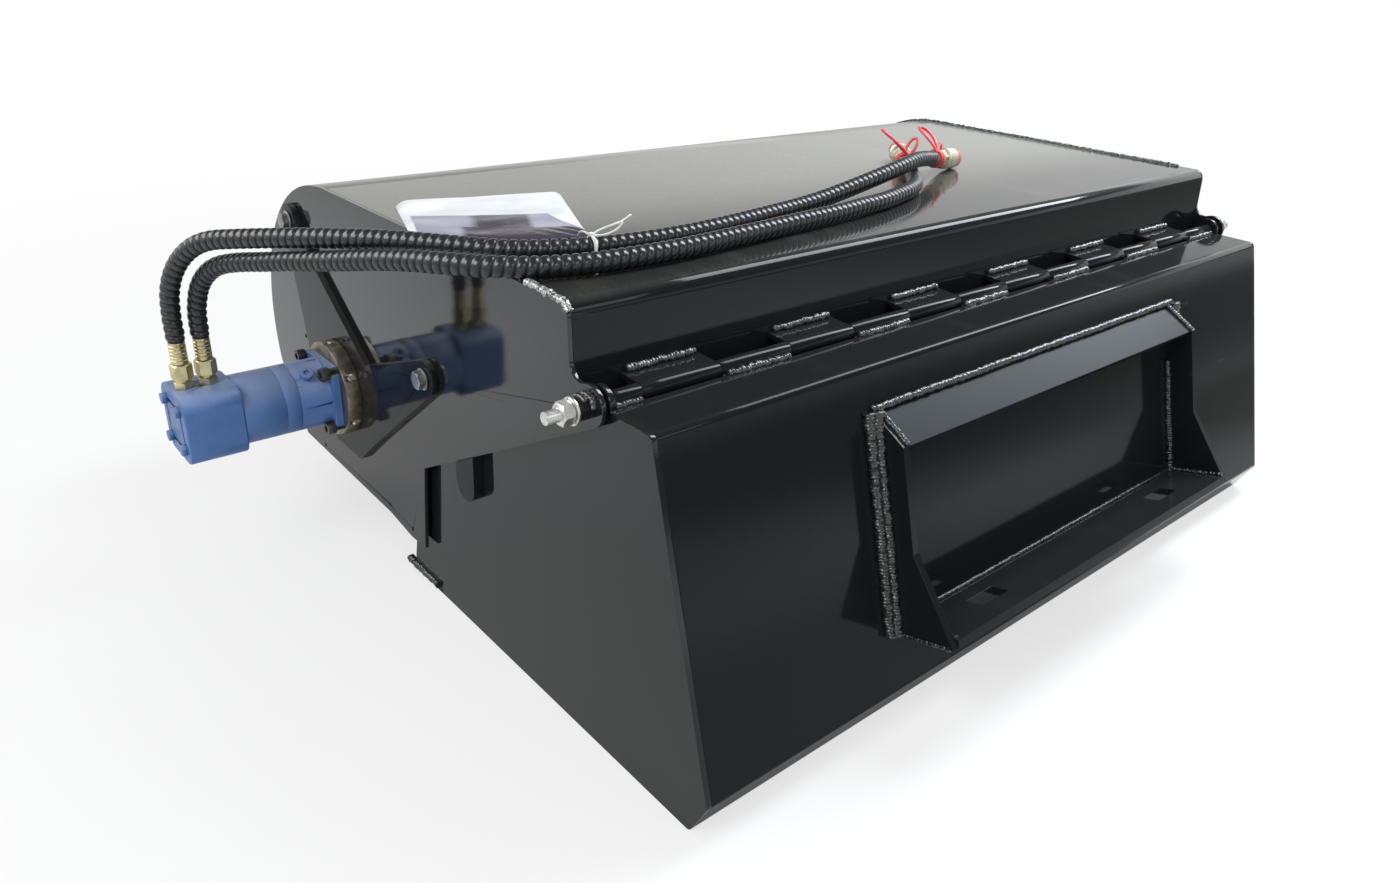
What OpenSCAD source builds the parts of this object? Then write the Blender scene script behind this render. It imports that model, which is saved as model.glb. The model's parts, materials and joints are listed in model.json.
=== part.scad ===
// Sweeper broom bucket: a bucket with a hinged hood that carries a hydraulic pick-up broom.
// +X points to the motor side, +Y to the rear, where the machine couples, and +Z up.
// The origin is the middle of the bucket floor's underside, at mid width.

/* [Bucket] */
// Outer width of the bucket
bucket_w = 1500; // [1200:10:1800]
// Length of the underside, from the heel to the tip of the cutting edge
floor_len = 730; // [700:5:780]
// Height of the lip above the ground
bucket_h = 493; // [480:1:505]
// How far the heel's bevel runs to the rear
heel_run = 28; // [20:1:40]
// How far the heel's bevel rises
heel_rise = 57; // [45:1:70]
// How far the back leans forward over its height
back_run = 130; // [115:1:145]
// Length of the lip that turns forward at the top of the back
lip_len = 81; // [70:1:95]
// Thickness of the bent bucket sheet
shell_t = 6; // [4:0.5:10]
// Outer radius of that sheet's bends
bend_r = 10; // [8:1:16]
// Thickness of the bucket's side plates
side_t = 8; // [5:0.5:10]
// Distance from the cutting edge's tip back to the side plate's upper front corner
side_nose_set = 75; // [60:1:90]
// Height of that corner
side_nose_h = 252; // [235:1:265]
// Distance from the cutting edge's tip back to the side plate's foot
side_foot_set = 25; // [15:1:60]

/* [Cutting edge] */
// Depth of the cutting edge
edge_len = 116; // [90:1:140]
// Thickness of the cutting edge
edge_t = 16; // [10:1:20]
// Length of the grind on its front
edge_grind = 30; // [15:1:50]
// Thickness left at its tip
edge_nose = 4; // [2:0.5:8]

/* [Quick attach] */
// Width over the two ears
ear_span = 794; // [600:2:1000]
// Thickness of an ear
ear_t = 12; // [8:1:16]
// Height of the ledge's underside above the heel's bevel, measured up the back
ledge_s = 85; // [60:1:110]
// Thickness of the ledge
ledge_t = 12; // [8:1:16]
// Depth of the ledge and of the ears' feet
ledge_depth = 98; // [80:1:120]
// Height up the back where an ear becomes slim
ear_flare_s = 207; // [180:1:230]
// Depth of an ear above that
ear_depth = 46; // [40:1:55]
// Height up the back of the hook plate's lower edge
hook_s = 352; // [330:1:360]
// Height up the back of the hook plate's upper edge
hook_top_s = 397; // [385:1:410]
// Thickness of the hook plate
hook_t = 10; // [6:1:14]
// Distance from mid width to the middle of a lock slot
lock_x = 250; // [200:5:300]
// Length of a lock slot
lock_len = 60; // [40:1:80]
// Width of a lock slot
lock_w = 28; // [20:1:34]

/* [Hinge] */
// Diameter of the hinge rod
rod_d = 16; // [12:1:18]
// Wall of the hinge barrels
barrel_wall = 3; // [2:0.5:5]
// Height of the hinge axis above the lip
hinge_rise = 4; // [2:0.5:6]
// Distance from a barrel to the lip
hinge_foot = 2; // [1:0.5:4]
// Distance from the bucket's left face to the first joint
hinge_first = 56; // [40:1:80]
// Length of one knuckle with its gap
knuckle_pitch = 121.5; // [80:0.5:160]
// Gap between two knuckles
knuckle_gap = 1; // [0.5:0.1:2]
// Radial running clearance of the rod and the brush shafts
run_gap = 0.05; // [0.01:0.01:0.1]
// Thickness of the hood knuckles' leaves
leaf_t = 6; // [4:0.5:8]
// How high the leaves reach above the hinge axis
leaf_rise = 12; // [10:0.5:20]
// Angle at which a leaf runs off its barrel
leaf_meet = 70; // [60:1:85]
// Length of the collars that keep the rod's nuts off the hood
collar_len = 22; // [10:1:30]
// Outside diameter of the collars
collar_d = 28; // [24:1:34]
// Length of thread past the washer
rod_tail = 34; // [26:1:60]
// Diameter of the rod's washers
washer_d = 34; // [30:1:44]
// Thickness of all washers
washer_t = 3; // [2:0.5:4]
// Width across flats of the rod's nuts
rod_nut_af = 26; // [24:1:32]
// Height of the rod's nuts
rod_nut_h = 16; // [12:1:20]

/* [Hood] */
// Gap between a bucket side and a hood side
hood_gap = 8; // [5:0.5:12]
// Thickness of the hood's side plates
hood_side_t = 6; // [4:0.5:8]
// Diameter of the left side plate's spare holes
spare_hole_d = 7; // [5:0.5:9]
// Thickness of the hood's bent skin
skin_t = 5; // [3:0.5:6]
// Gap between the bristles and the hood's rounded front
brush_gap = 38; // [30:1:50]
// How far the middle of that round lies ahead of the brush axis
front_shift = 17; // [5:1:25]
// How far it lies above the brush axis
front_rise = 18; // [5:1:25]
// Height of the hood's top at the rear
hood_rear_h = 604; // [600:1:625]
// How far the skin goes on below the middle of that round, in degrees
hood_wrap = 15; // [5:1:25]
// Radius of the skin's rear bend
hood_bend_r = 18; // [10:1:25]
// Distance from the hinge axis forward to the foot of the skin's rear wall
hood_rear_set = 35; // [31:1:45]
// How far the rear wall leans forward
hood_rear_lean = 8; // [0:1:15]
// How far the rear wall reaches below the hinge axis
hood_rear_drop = 7; // [0:1:14]
// Radius of the side plates' ears around the hinge
ear_r = 26; // [24:1:30]
// Radius of the hollow above such an ear
ear_fillet = 20; // [12:1:24]
// Width of a stop lug
lug_w = 50; // [36:1:64]
// Height of a stop lug's straight side
lug_h = 26; // [16:1:40]
// How far a stop lug stands out past the hood side
lug_proud = 2; // [0:0.5:6]
// Distance from the hinge axis forward to the middle of a stop lug
lug_reach = 294; // [270:1:320]
// Gap between a stop lug and the hood side that rests on it
stop_gap = 0.3; // [0.1:0.05:0.5]
// Diameter of the clearance holes around the brush shafts
shaft_hole_d = 96; // [80:1:110]

/* [Motor bracket] */
// Thickness of the bracket plate
bracket_t = 10; // [6:1:14]
// Distance from the brush axis forward to the upper bolt
bracket_up_fwd = 154; // [140:1:165]
// Distance from the brush axis up to the upper bolt
bracket_up_rise = 240; // [225:1:248]
// Distance from the brush axis back to the rear bolt
bracket_back = 299; // [285:1:310]
// Distance from the brush axis up to the rear bolt
bracket_back_rise = 119; // [110:1:128]
// Radius of the bracket's ends
bracket_end_r = 27; // [24:1:30]
// Diameter of the bracket bolts
bracket_bolt_d = 16; // [12:1:18]
// Height of a bolt's head
bolt_head_h = 10; // [8:0.5:12]
// Height of the nuts inside the hood
nut_h = 12; // [8:0.5:14]
// Length of thread past such a nut
thread_tail = 5; // [2:0.5:8]
// Diameter of the bare steel ring
ring_d = 156; // [140:1:164]
// Width of the steel ring
ring_w = 24; // [18:1:30]
// Diameter of the six grub screws in the ring's rim
ring_screw_d = 8; // [6:0.5:10]
// How far they stand out
ring_screw_proud = 2; // [1:0.5:4]

/* [Motor] */
// Diameter of the motor's round body
motor_d = 110; // [100:1:118]
// Thickness of the motor's mounting flange
flange_t = 14; // [10:1:20]
// Width of the square mounting flange
flange_w = 112; // [100:1:120]
// Corner radius of the mounting flange
flange_r = 20; // [12:1:30]
// Length of the bearing housing behind the flange
bearing_len = 50; // [40:1:60]
// Length of the wear plate
wear_len = 23; // [15:1:30]
// Length of the gear set
gear_len = 62; // [45:1:75]
// Length of the port housing
port_len = 85; // [75:1:95]
// Width of the port housing
port_w = 106; // [98:1:112]
// Height of the port housing's flat top above the motor axis
port_top = 55; // [50:1:60]
// Corner radius of the port housing
port_r = 22; // [14:1:30]
// Distance between the two ports
port_pitch = 34; // [32:1:40]
// Distance from the motor's end to the outer port
port_set = 21; // [18:1:26]
// Diameter of the flange's socket screws
flange_screw_d = 14; // [10:1:16]
// Distance from the motor axis to each flange screw
flange_screw_r = 66; // [62:1:70]
// Diameter of the end screws
end_screw_d = 10; // [8:1:12]
// Distance from the motor axis to each end screw
end_screw_r = 44; // [38:1:46]
// Diameter of the drain plug
drain_d = 20; // [14:1:24]
// Height of the drain plug above the body
drain_h = 8; // [5:1:12]

/* [Hoses] */
// Outer diameter of the hose guards, over the ribs
hose_d = 27; // [24:0.5:30]
// Depth of a rib
rib_depth = 1.8; // [1:0.1:2.5]
// Bore of the hoses
hose_bore_d = 12; // [8:0.5:14]
// Ribs on each hose
rib_count = 84; // [40:1:95]
// Width across flats of the port adapters
adapter_af = 26; // [24:1:30]
// Height of a port adapter's hexagon
adapter_h = 14; // [10:1:18]
// Width across flats of the swivel nuts
swivel_af = 27; // [24:1:30]
// Height of a swivel nut
swivel_h = 24; // [18:1:28]
// Diameter of a crimped ferrule
ferrule_d = 24; // [22:0.5:27]
// Length of a crimped ferrule
ferrule_h = 34; // [26:1:40]
// Outer diameter of the quick couplers
coupler_d = 38; // [34:1:44]
// Length of a quick coupler
coupler_len = 72; // [60:1:90]
// Diameter of a dust cap
cap_d = 34; // [28:1:37]
// Length of a dust cap
cap_len = 22; // [16:1:30]

/* [Brush] */
// Distance from the hinge axis forward to the brush axis
brush_reach = 684; // [675:1:690]
// Height of the brush axis
brush_h = 275; // [272:1:280]
// Diameter over the bristles
brush_d = 524; // [440:2:530]
// Distance from a bucket side's inner face to the brush's end disc
brush_end_gap = 50; // [44:1:80]
// Diameter of the core tube
core_d = 152; // [130:1:170]
// Wall of the core tube
core_wall = 6; // [4:0.5:10]
// Height and width of a drive bar
bar_w = 12; // [8:1:16]
// Drive bars around the core
bar_count = 4; // [3:1:6]
// Width of one wafer with its gap
wafer_pitch = 50; // [40:1:70]
// Gap between two wafer rings
wafer_gap = 2; // [1:0.5:6]
// Wall of a wafer ring
wafer_wall = 12; // [8:1:16]
// Clearance between a wafer ring and the drive bars
wafer_fit = 0.3; // [0.1:0.05:0.5]
// Width of a wafer's bristle pack
bristle_w = 36; // [24:1:38]
// Thickness of the end discs
disc_t = 8; // [6:1:12]
// How far an end disc stands out past the wafer rings
disc_proud = 12; // [6:1:20]
// Diameter of the brush shafts
shaft_d = 32; // [25:1:36]
// Diameter of the drive hub and the idler hub
hub_d = 76; // [64:1:84]
// Length of a hub
hub_len = 42; // [30:1:43]
// Diameter of a hub bolt
hub_bolt_d = 8; // [6:1:10]

/* [Idler bearing] */
// Thickness of the idler's backing plate
idler_plate_t = 8; // [6:1:12]
// Width of the backing plate
idler_plate_w = 190; // [170:2:220]
// Width of the bearing's square flange
idler_w = 130; // [116:1:140]
// Thickness of the bearing's flange
idler_flange_t = 14; // [10:1:18]
// Length of the bearing's boss
idler_boss_len = 24; // [16:1:30]
// Diameter of the bearing's boss
idler_boss_d = 84; // [74:1:96]
// Distance from the axis to each bearing bolt, along Y and Z
idler_bolt_set = 49; // [46:1:52]
// Diameter of the bearing bolts
idler_bolt_d = 12; // [10:1:14]

/* [Manual pouch and ties] */
// Thickness of the document pouch
pouch_t = 5; // [3:0.5:8]
// Width of a tie band
tie_w = 5; // [3:0.5:8]
// Thickness of a tie band
tie_t = 1.2; // [1:0.1:2]
// Thickness of the red cords' loops
loop_d = 6; // [4:0.5:8]
// Radius of a red loop
loop_r = 16; // [12:1:22]
// Gap between the soft pieces and what they lie on
lay_gap = 0.3; // [0.1:0.05:0.5]

/* [Hidden] */
$fn = 48;
// One overrun for every cut
over = 1;

heel_y = floor_len / 2;
tip_y = -heel_y;
bevel = [heel_y + heel_run, heel_rise];
back_top = [bevel.x - back_run, bucket_h];
lip_front = [back_top.x - lip_len, bucket_h];
edge_rear_y = tip_y + edge_len;
back_lean = atan2(back_run, bucket_h - heel_rise);

barrel_r = rod_d / 2 + barrel_wall;
hinge = [lip_front.x - hinge_foot - barrel_r, bucket_h + hinge_rise];
inner_x = bucket_w / 2 - side_t;
hood_in_x = bucket_w / 2 + hood_gap;
hood_out_x = hood_in_x + hood_side_t;
washer_x = hood_out_x + collar_len;
first_joint_x = bucket_w / 2 - hinge_first;
knuckle_count = floor((bucket_w - hinge_first) / knuckle_pitch);
last_joint_x = first_joint_x - knuckle_count * knuckle_pitch;

rear_low = [hinge.x - hood_rear_set, hinge.y - hood_rear_drop];
rear_top = [rear_low.x - hood_rear_lean, hood_rear_h];
brush_c = [hinge.x - brush_reach, brush_h];
front_c = brush_c + [-front_shift, front_rise];
hood_front_r = brush_d / 2 + brush_gap;
front_top = front_c + [0, hood_front_r];
front_end = front_c - hood_front_r * [cos(hood_wrap), sin(hood_wrap)];
// The hollow between the rear wall's line and the ear: its foot on the wall, and its centre
wall_up = unit(rear_top - rear_low);
wall_out = [wall_up.y, -wall_up.x];
hollow_start = rear_low + wall_out * ear_fillet - hinge;
hollow_rise = -hollow_start * wall_up + sqrt(pow(hollow_start * wall_up, 2)
    - hollow_start * hollow_start + pow(ear_r + ear_fillet, 2));
hollow_foot = rear_low + wall_up * hollow_rise;
hollow_c = hollow_foot + wall_out * ear_fillet;
hood_len = hinge.x - front_c.x + hood_front_r;
// Corners of the hood side's underside, as shares of the hood's length and rear height
hood_foot_shares = [[0.9, 0.16], [0.559, 0.147], [0.486, 0.13], [0.44, 0.133], [0.423, 0.382]];
hood_foot = [for (s = hood_foot_shares) [hinge.x - s.x * hood_len, s.y * hood_rear_h]];
// Spare holes of the left side plate, as the same shares
spare_hole_shares = [[0.849, 0.507], [0.817, 0.176], [0.558, 0.172], [0.48, 0.158]];
spare_holes = [for (s = spare_hole_shares) [hinge.x - s.x * hood_len, s.y * hood_rear_h]];
hood_corner = hood_foot[len(hood_foot) - 1];
edge_tilt = atan2(hinge.y - hood_corner.y, hinge.x - hood_corner.x)
    - asin(ear_r / norm(hinge - hood_corner));

ring_x = hood_out_x + bracket_t;
flange_x = ring_x + ring_w;
bearing_x = flange_x + flange_t;
wear_x = bearing_x + bearing_len;
gear_x = wear_x + wear_len;
port_x = gear_x + gear_len;
motor_end_x = port_x + port_len;
port_xs = [motor_end_x - port_set, motor_end_x - port_set - port_pitch];
port_z = brush_h + port_top;
ferrule_z = port_z + adapter_h + swivel_h;

// Corners of the motor bracket around the brush axis, as shares of its reach to the rear
bracket_rear_shares = [[-0.204, 0.605], [0.334, 0.234]];
bracket_foot_shares = [[0.415, -0.177], [0.157, -0.391], [-0.15, -0.391], [-0.418, 0.05]];
bracket_up = brush_c + [-bracket_up_fwd, bracket_up_rise];
bracket_rear = brush_c + [bracket_back, bracket_back_rise];

idler_bolt_centres = [for (y = [-idler_bolt_set, idler_bolt_set],
    z = [-idler_bolt_set, idler_bolt_set]) brush_c + [y, z]];

disc_x = inner_x - brush_end_gap;
core_half = disc_x - disc_t;
wafer_in_r = core_d / 2 + bar_w + wafer_fit;
wafer_out_r = wafer_in_r + wafer_wall;
wafer_count = floor(2 * core_half / wafer_pitch);
hub_end_x = disc_x + hub_len;

// Pouch corners on the hood, as shares of half the bucket's width and the hood's length
pouch_shares = [[0.967, 0.531], [0.64, 0.474], [0.76, 0.262], [0.83, 0.25], [1.0, 0.4], [1.01, 0.46]];
// The tie that holds the pouch goes round the supply hose at this share of its length
pouch_tie_share = 0.476;

// Where each hose runs, chosen by hand from the photograph
hose_supply_route = [[1011, -515, 402], [1011, -515, 421], [1011, -515, 440], [1009, -511, 474],
    [1003, -500, 505], [993, -482, 532], [980, -458, 553], [965, -431, 566], [945, -392, 575],
    [916, -339, 585], [888, -287, 594], [859, -234, 602], [830, -181, 609], [801, -129, 614],
    [773, -84, 617], [737, -46, 617], [692, -19, 617.5], [640, -2, 617.5], [584, 6, 617.5],
    [527, 8, 617], [470, 6, 617], [413, 0, 617], [356, -8, 617], [299, -17, 617],
    [242, -26, 617.5], [185, -35, 619.5], [128, -42, 624.5], [72, -47, 631.5], [15, -54, 638],
    [-42, -65, 643], [-96, -82, 644.6], [-140, -97, 640.8], [-164, -105, 637.4],
    [-188, -113, 634]];
hose_return_route = [[977, -515, 402.2], [977, -515, 422], [976.5, -513, 442],
    [974.5, -508, 461], [972, -500, 479], [968, -489, 495], [963, -475, 508.5],
    [957.5, -459, 519.5], [951, -441.5, 527.5], [944, -421, 534], [935, -394, 541],
    [922, -357, 549], [908, -316, 558.5], [891, -268, 568.5], [873, -212, 581],
    [855, -156, 594], [837, -100, 605],
    [818, -46, 613], [789, 0, 617], [745, 32, 617.5], [690, 50, 617.5], [630, 57, 617.5],
    [570, 59, 617.5], [510, 57, 617.5], [450, 52, 617.5], [390, 46, 617], [330, 40, 617],
    [270, 35, 617], [210, 29, 617], [150, 20, 617],
    [94, 11, 616.2], [42, -3, 616], [-8, -19, 615.6], [-54, -43, 615.3], [-92, -76, 615],
    [-128, -112, 616.5], [-153, -138, 618.4], [-164, -149.5, 618.5], [-175, -161, 618.5]];

function unit(v) = v / norm(v);
function half_angle(a, p, b) = acos(unit(a - p) * unit(b - p)) / 2;
// Centre of a circle of radius r that sits in the corner p between a and b
function corner_centre(a, p, b, r) =
    p + unit(unit(a - p) + unit(b - p)) * r / sin(half_angle(a, p, b));
function corner_ends(a, p, b, r) =
    [for (q = [a, b]) p + unit(q - p) * r / tan(half_angle(a, p, b))];
function rear_y(z) =
    rear_low.x - hood_rear_lean * (z - rear_low.y) / (rear_top.y - rear_low.y);
function hood_top_z(y) =
    front_top.y + (hood_rear_h - front_top.y) * (y - front_top.x) / (rear_top.x - front_top.x);

// Maps a flat profile's (x, y) to (y, z) and gives it a length along x
module along_x(x, length) {
    translate([x, 0, 0]) rotate([90, 0, 90]) linear_extrude(length) children();
}

// Draws its children again, mirrored to the other side of mid width
module both_sides() {
    children();
    mirror([1, 0, 0]) children();
}

// Polygon whose corners with a radius are rounded
module rounded(points, radii) {
    n = len(points);
    polygon([for (i = [0 : n - 1]) each radii[i] > 0
        ? corner_ends(points[(i + n - 1) % n], points[i], points[(i + 1) % n], radii[i])
        : [points[i]]]);
    for (i = [0 : n - 1])
        if (radii[i] > 0)
            translate(corner_centre(points[(i + n - 1) % n], points[i],
                points[(i + 1) % n], radii[i]))
                circle(radii[i]);
}

module rounded_square(width, height, r) {
    w = width / 2;
    h = height / 2;
    rounded([[-w, -h], [w, -h], [w, h], [-w, h]], [r, r, r, r]);
}

// A shaft or bore along x through the point (y, z)
module x_rod(x, length, d, at) {
    translate([x, at.x, at.y]) rotate([0, 90, 0]) cylinder(d = d, h = length);
}

module x_hex(x, length, across, at) {
    translate([x, at.x, at.y]) rotate([0, 90, 0])
        cylinder(d = across / cos(30), h = length, $fn = 6);
}

// Stands its children on the bucket's back, with z up the back and y out of it
module on_back() {
    translate([0, bevel.x, bevel.y]) rotate([back_lean, 0, 0]) children();
}

// Bucket

// Everything inside the bent sheet, drawn in by d
module bucket_section(d) {
    foot = [edge_rear_y, 0];
    heel = [heel_y, 0];
    past = [over, 0];
    if (d > 0)
        rounded([foot + [0, d] - past, corner_centre(foot, heel, bevel, d),
            corner_centre(heel, bevel, back_top, d),
            corner_centre(bevel, back_top, lip_front, d), lip_front - [0, d] - past],
            [0, bend_r - d, bend_r - d, bend_r - d, 0]);
    else
        rounded([foot, heel, bevel, back_top, lip_front, lip_front - [0, shell_t],
            foot + [0, shell_t]], [0, bend_r, bend_r, bend_r, 0, 0, 0]);
}

module bucket_shell() {
    color([0.07, 0.08, 0.08])
        along_x(-inner_x, 2 * inner_x)
            difference() {
                bucket_section(0);
                bucket_section(shell_t);
            }
}

module bucket_side_2d() {
    nose = [tip_y + side_nose_set, side_nose_h];
    foot = [tip_y + side_foot_set, edge_t];
    difference() {
        union() {
            rounded([[edge_rear_y, 0], [heel_y, 0], bevel, back_top, lip_front, hinge,
                hinge + barrel_r * [-sin(edge_tilt), -cos(edge_tilt)] * 2, nose, foot,
                [edge_rear_y, edge_t]], [0, bend_r, bend_r, bend_r, 0, 0, 0, 0, 0, 0]);
            translate(hinge) circle(barrel_r * 2);
        }
        translate(hinge) circle(rod_d / 2 + run_gap);
    }
}

module bucket_side() {
    along_x(inner_x, side_t) bucket_side_2d();
}

module bucket_side_left() {
    color([0.3, 0.31, 0.31]) bucket_side();
}

module bucket_side_right() {
    color([0.3, 0.31, 0.31]) mirror([1, 0, 0]) bucket_side();
}

module cutting_edge() {
    color([0.16, 0.16, 0.16])
        along_x(-bucket_w / 2, bucket_w)
            polygon([[tip_y, 0], [edge_rear_y, 0], [edge_rear_y, edge_t],
                [tip_y + edge_grind, edge_t], [tip_y, edge_nose]]);
}

module hood_stop_lugs() {
    proud = hood_gap + hood_side_t + lug_proud;
    y = hinge.x - lug_reach;
    rise = hood_corner.y + (y - hood_corner.x) * tan(edge_tilt) - stop_gap / cos(edge_tilt);
    slope = lug_w / 2 * tan(edge_tilt);
    color([0.08, 0.08, 0.08]) both_sides()
        along_x(bucket_w / 2, proud) {
            polygon([[y - lug_w / 2, rise - slope - lug_h], [y + lug_w / 2, rise - slope - lug_h],
                [y + lug_w / 2, rise + slope], [y - lug_w / 2, rise - slope]]);
            translate([y, rise - slope - lug_h]) circle(lug_w / 2);
        }
}

// Quick attach

module ear() {
    along_x(ear_span / 2 - ear_t, ear_t)
        polygon([[0, ledge_s], [ledge_depth, ledge_s], [ear_depth, ear_flare_s],
            [ear_depth, hook_s], [0, hook_top_s]]);
}

module quick_attach_ear_left() {
    color([0.09, 0.1, 0.1]) on_back() ear();
}

module quick_attach_ear_right() {
    color([0.09, 0.1, 0.1]) on_back() mirror([1, 0, 0]) ear();
}

module quick_attach_hook_plate() {
    width = ear_span - 2 * ear_t;
    low = [ear_depth, hook_s];
    high = [0, hook_top_s];
    inward = hook_t * unit([low.y - high.y, high.x - low.x]);
    color([0.25, 0.28, 0.36]) on_back()
        along_x(-width / 2, width)
            polygon([low, high, [0, high.y - hook_t / cos(atan2(high.y - low.y, low.x))],
                low + inward]);
}

module quick_attach_ledge() {
    width = ear_span - 2 * ear_t;
    color([0.09, 0.1, 0.1]) on_back()
        difference() {
            translate([-width / 2, 0, ledge_s]) cube([width, ledge_depth, ledge_t]);
            both_sides()
                translate([lock_x - lock_len / 2, (ledge_depth - lock_w) / 2, ledge_s - over])
                    cube([lock_len, lock_w, ledge_t + 2 * over]);
        }
}

// Hinge

module barrel(x, length) {
    translate([x, hinge.x, hinge.y]) rotate([0, 90, 0]) cylinder(r = barrel_r, h = length);
}

module rod_bore() {
    x_rod(-bucket_w, 2 * bucket_w, rod_d + 2 * run_gap, hinge);
}

module bucket_knuckle(from, to) {
    barrel(to, from - to);
    along_x(to, from - to)
        polygon([hinge, lip_front, lip_front - [0, shell_t], hinge - [0, barrel_r]]);
}

module bucket_hinge_knuckles() {
    color([0.1, 0.1, 0.1]) difference() {
        union() {
            bucket_knuckle(inner_x, first_joint_x + knuckle_gap / 2);
            bucket_knuckle(last_joint_x - knuckle_gap / 2, -inner_x);
            for (i = [1 : 2 : knuckle_count - 1])
                bucket_knuckle(first_joint_x - i * knuckle_pitch - knuckle_gap / 2,
                    first_joint_x - (i + 1) * knuckle_pitch + knuckle_gap / 2);
        }
        rod_bore();
    }
}

module hood_hinge_knuckles() {
    top = hinge.y + leaf_rise;
    foot = top - leaf_t;
    color([0.1, 0.1, 0.1]) difference() {
        for (i = [0 : 2 : knuckle_count - 1]) {
            from = first_joint_x - i * knuckle_pitch - knuckle_gap / 2;
            to = first_joint_x - (i + 1) * knuckle_pitch + knuckle_gap / 2;
            barrel(to, from - to);
            along_x(to, from - to)
                polygon([[rear_y(foot), foot], [rear_y(top), top],
                    hinge + barrel_r * [cos(leaf_meet), sin(leaf_meet)], hinge]);
        }
        rod_bore();
    }
}

module hinge_rod() {
    half = washer_x + washer_t + rod_tail;
    color([0.72, 0.68, 0.55]) x_rod(-half, 2 * half, rod_d, hinge);
}

module hinge_rod_collars() {
    color([0.08, 0.08, 0.08]) both_sides() difference() {
        x_rod(hood_out_x, collar_len, collar_d, hinge);
        rod_bore();
    }
}

module hinge_rod_washers() {
    color([0.75, 0.75, 0.74]) both_sides() difference() {
        x_rod(washer_x, washer_t, washer_d, hinge);
        rod_bore();
    }
}

module hinge_rod_nuts() {
    color([0.78, 0.78, 0.76]) both_sides() difference() {
        x_hex(washer_x + washer_t, rod_nut_h, rod_nut_af, hinge);
        rod_bore();
    }
}

// Hood

// Everything under the hood's skin, drawn in by d
module hood_section(d) {
    below = d > 0 ? over : 0;
    rear_foot = rear_low - [d, below];
    rounded([rear_foot, d > 0 ? corner_centre(rear_low, rear_top, front_top, d) : rear_top,
        front_top - [0, d], [front_top.x, rear_foot.y]], [0, hood_bend_r - d, 0, 0]);
    intersection() {
        translate(front_c) circle(hood_front_r - d);
        polygon([[front_c.x + below, front_end.y - below], [front_c.x + below, front_top.y],
            [front_c.x - 2 * hood_front_r, front_top.y],
            [front_c.x - 2 * hood_front_r, front_end.y - below]]);
    }
}

module hood_skin() {
    color([0.42, 0.42, 0.39])
        along_x(-hood_in_x, 2 * hood_in_x)
            difference() {
                hood_section(0);
                hood_section(skin_t);
            }
}

module hood_side_2d() {
    under = hinge + ear_r * [sin(edge_tilt), -cos(edge_tilt)];
    outline = concat([hollow_foot, rear_top, front_top, front_end], hood_foot,
        [under, hinge, hollow_c]);
    difference() {
        union() {
            rounded(outline, [for (i = [0 : len(outline) - 1]) i == 1 ? hood_bend_r : 0]);
            hood_section(0);
            translate(hinge) circle(ear_r);
        }
        translate(hollow_c) circle(ear_fillet);
        translate(hinge) circle(rod_d / 2 + run_gap);
        translate(brush_c) circle(d = shaft_hole_d);
    }
}

module hood_side() {
    along_x(hood_in_x, hood_side_t) hood_side_2d();
}

module hood_side_left() {
    color([0.33, 0.34, 0.34]) difference() {
        hood_side();
        for (c = [bracket_up, bracket_rear])
            x_rod(hood_in_x - over, hood_side_t + 2 * over, bracket_bolt_d, c);
        for (c = spare_holes)
            x_rod(hood_in_x - over, hood_side_t + 2 * over, spare_hole_d, c);
    }
}

module hood_side_right() {
    color([0.33, 0.34, 0.34]) mirror([1, 0, 0]) difference() {
        hood_side();
        for (c = idler_bolt_centres)
            x_rod(hood_in_x - over, hood_side_t + 2 * over, idler_bolt_d, c);
    }
}

// Motor bracket

function around_brush(shares) = [for (s = shares) brush_c + bracket_back * s];
// Point of a circle of radius r round c that faces sideways from the line a to b
function beside(c, r, a, b) = c + r * [-(b - a).y, (b - a).x] / norm(b - a);

module motor_bracket_2d() {
    rear = around_brush(bracket_rear_shares);
    foot = around_brush(bracket_foot_shares);
    difference() {
        union() {
            polygon(concat([beside(bracket_up, bracket_end_r, bracket_up, rear[0])], rear,
                [beside(bracket_rear, bracket_end_r, rear[1], bracket_rear),
                beside(bracket_rear, bracket_end_r, bracket_rear, foot[0])],
                foot, [beside(bracket_up, bracket_end_r, foot[3], bracket_up)]));
            translate(bracket_up) circle(bracket_end_r);
            translate(bracket_rear) circle(bracket_end_r);
        }
        for (c = [bracket_up, bracket_rear])
            translate(c) circle(d = bracket_bolt_d);
        translate(brush_c) circle(d = shaft_hole_d);
    }
}

module motor_bracket() {
    color([0.2, 0.21, 0.22]) along_x(hood_out_x, bracket_t) motor_bracket_2d();
}

module bracket_bolts() {
    head_x = ring_x + washer_t;
    color([0.3, 0.31, 0.33])
        for (c = [bracket_up, bracket_rear]) {
            end_x = hood_in_x - nut_h - thread_tail;
            x_rod(end_x, head_x - end_x, bracket_bolt_d, c);
            difference() {
                x_rod(ring_x, washer_t, 2 * bracket_bolt_d, c);
                x_rod(ring_x - over, washer_t + 2 * over, bracket_bolt_d, c);
            }
            x_hex(head_x, bolt_head_h, 1.5 * bracket_bolt_d, c);
        }
}

// A nut on the inner face of the hood's side plate
module inner_nut(d, at) {
    difference() {
        x_hex(hood_in_x - nut_h, nut_h, 1.5 * d, at);
        x_rod(hood_in_x - nut_h - over, nut_h + 2 * over, d, at);
    }
}

module bracket_nuts() {
    color([0.7, 0.7, 0.68])
        for (c = [bracket_up, bracket_rear]) inner_nut(bracket_bolt_d, c);
}

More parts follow.
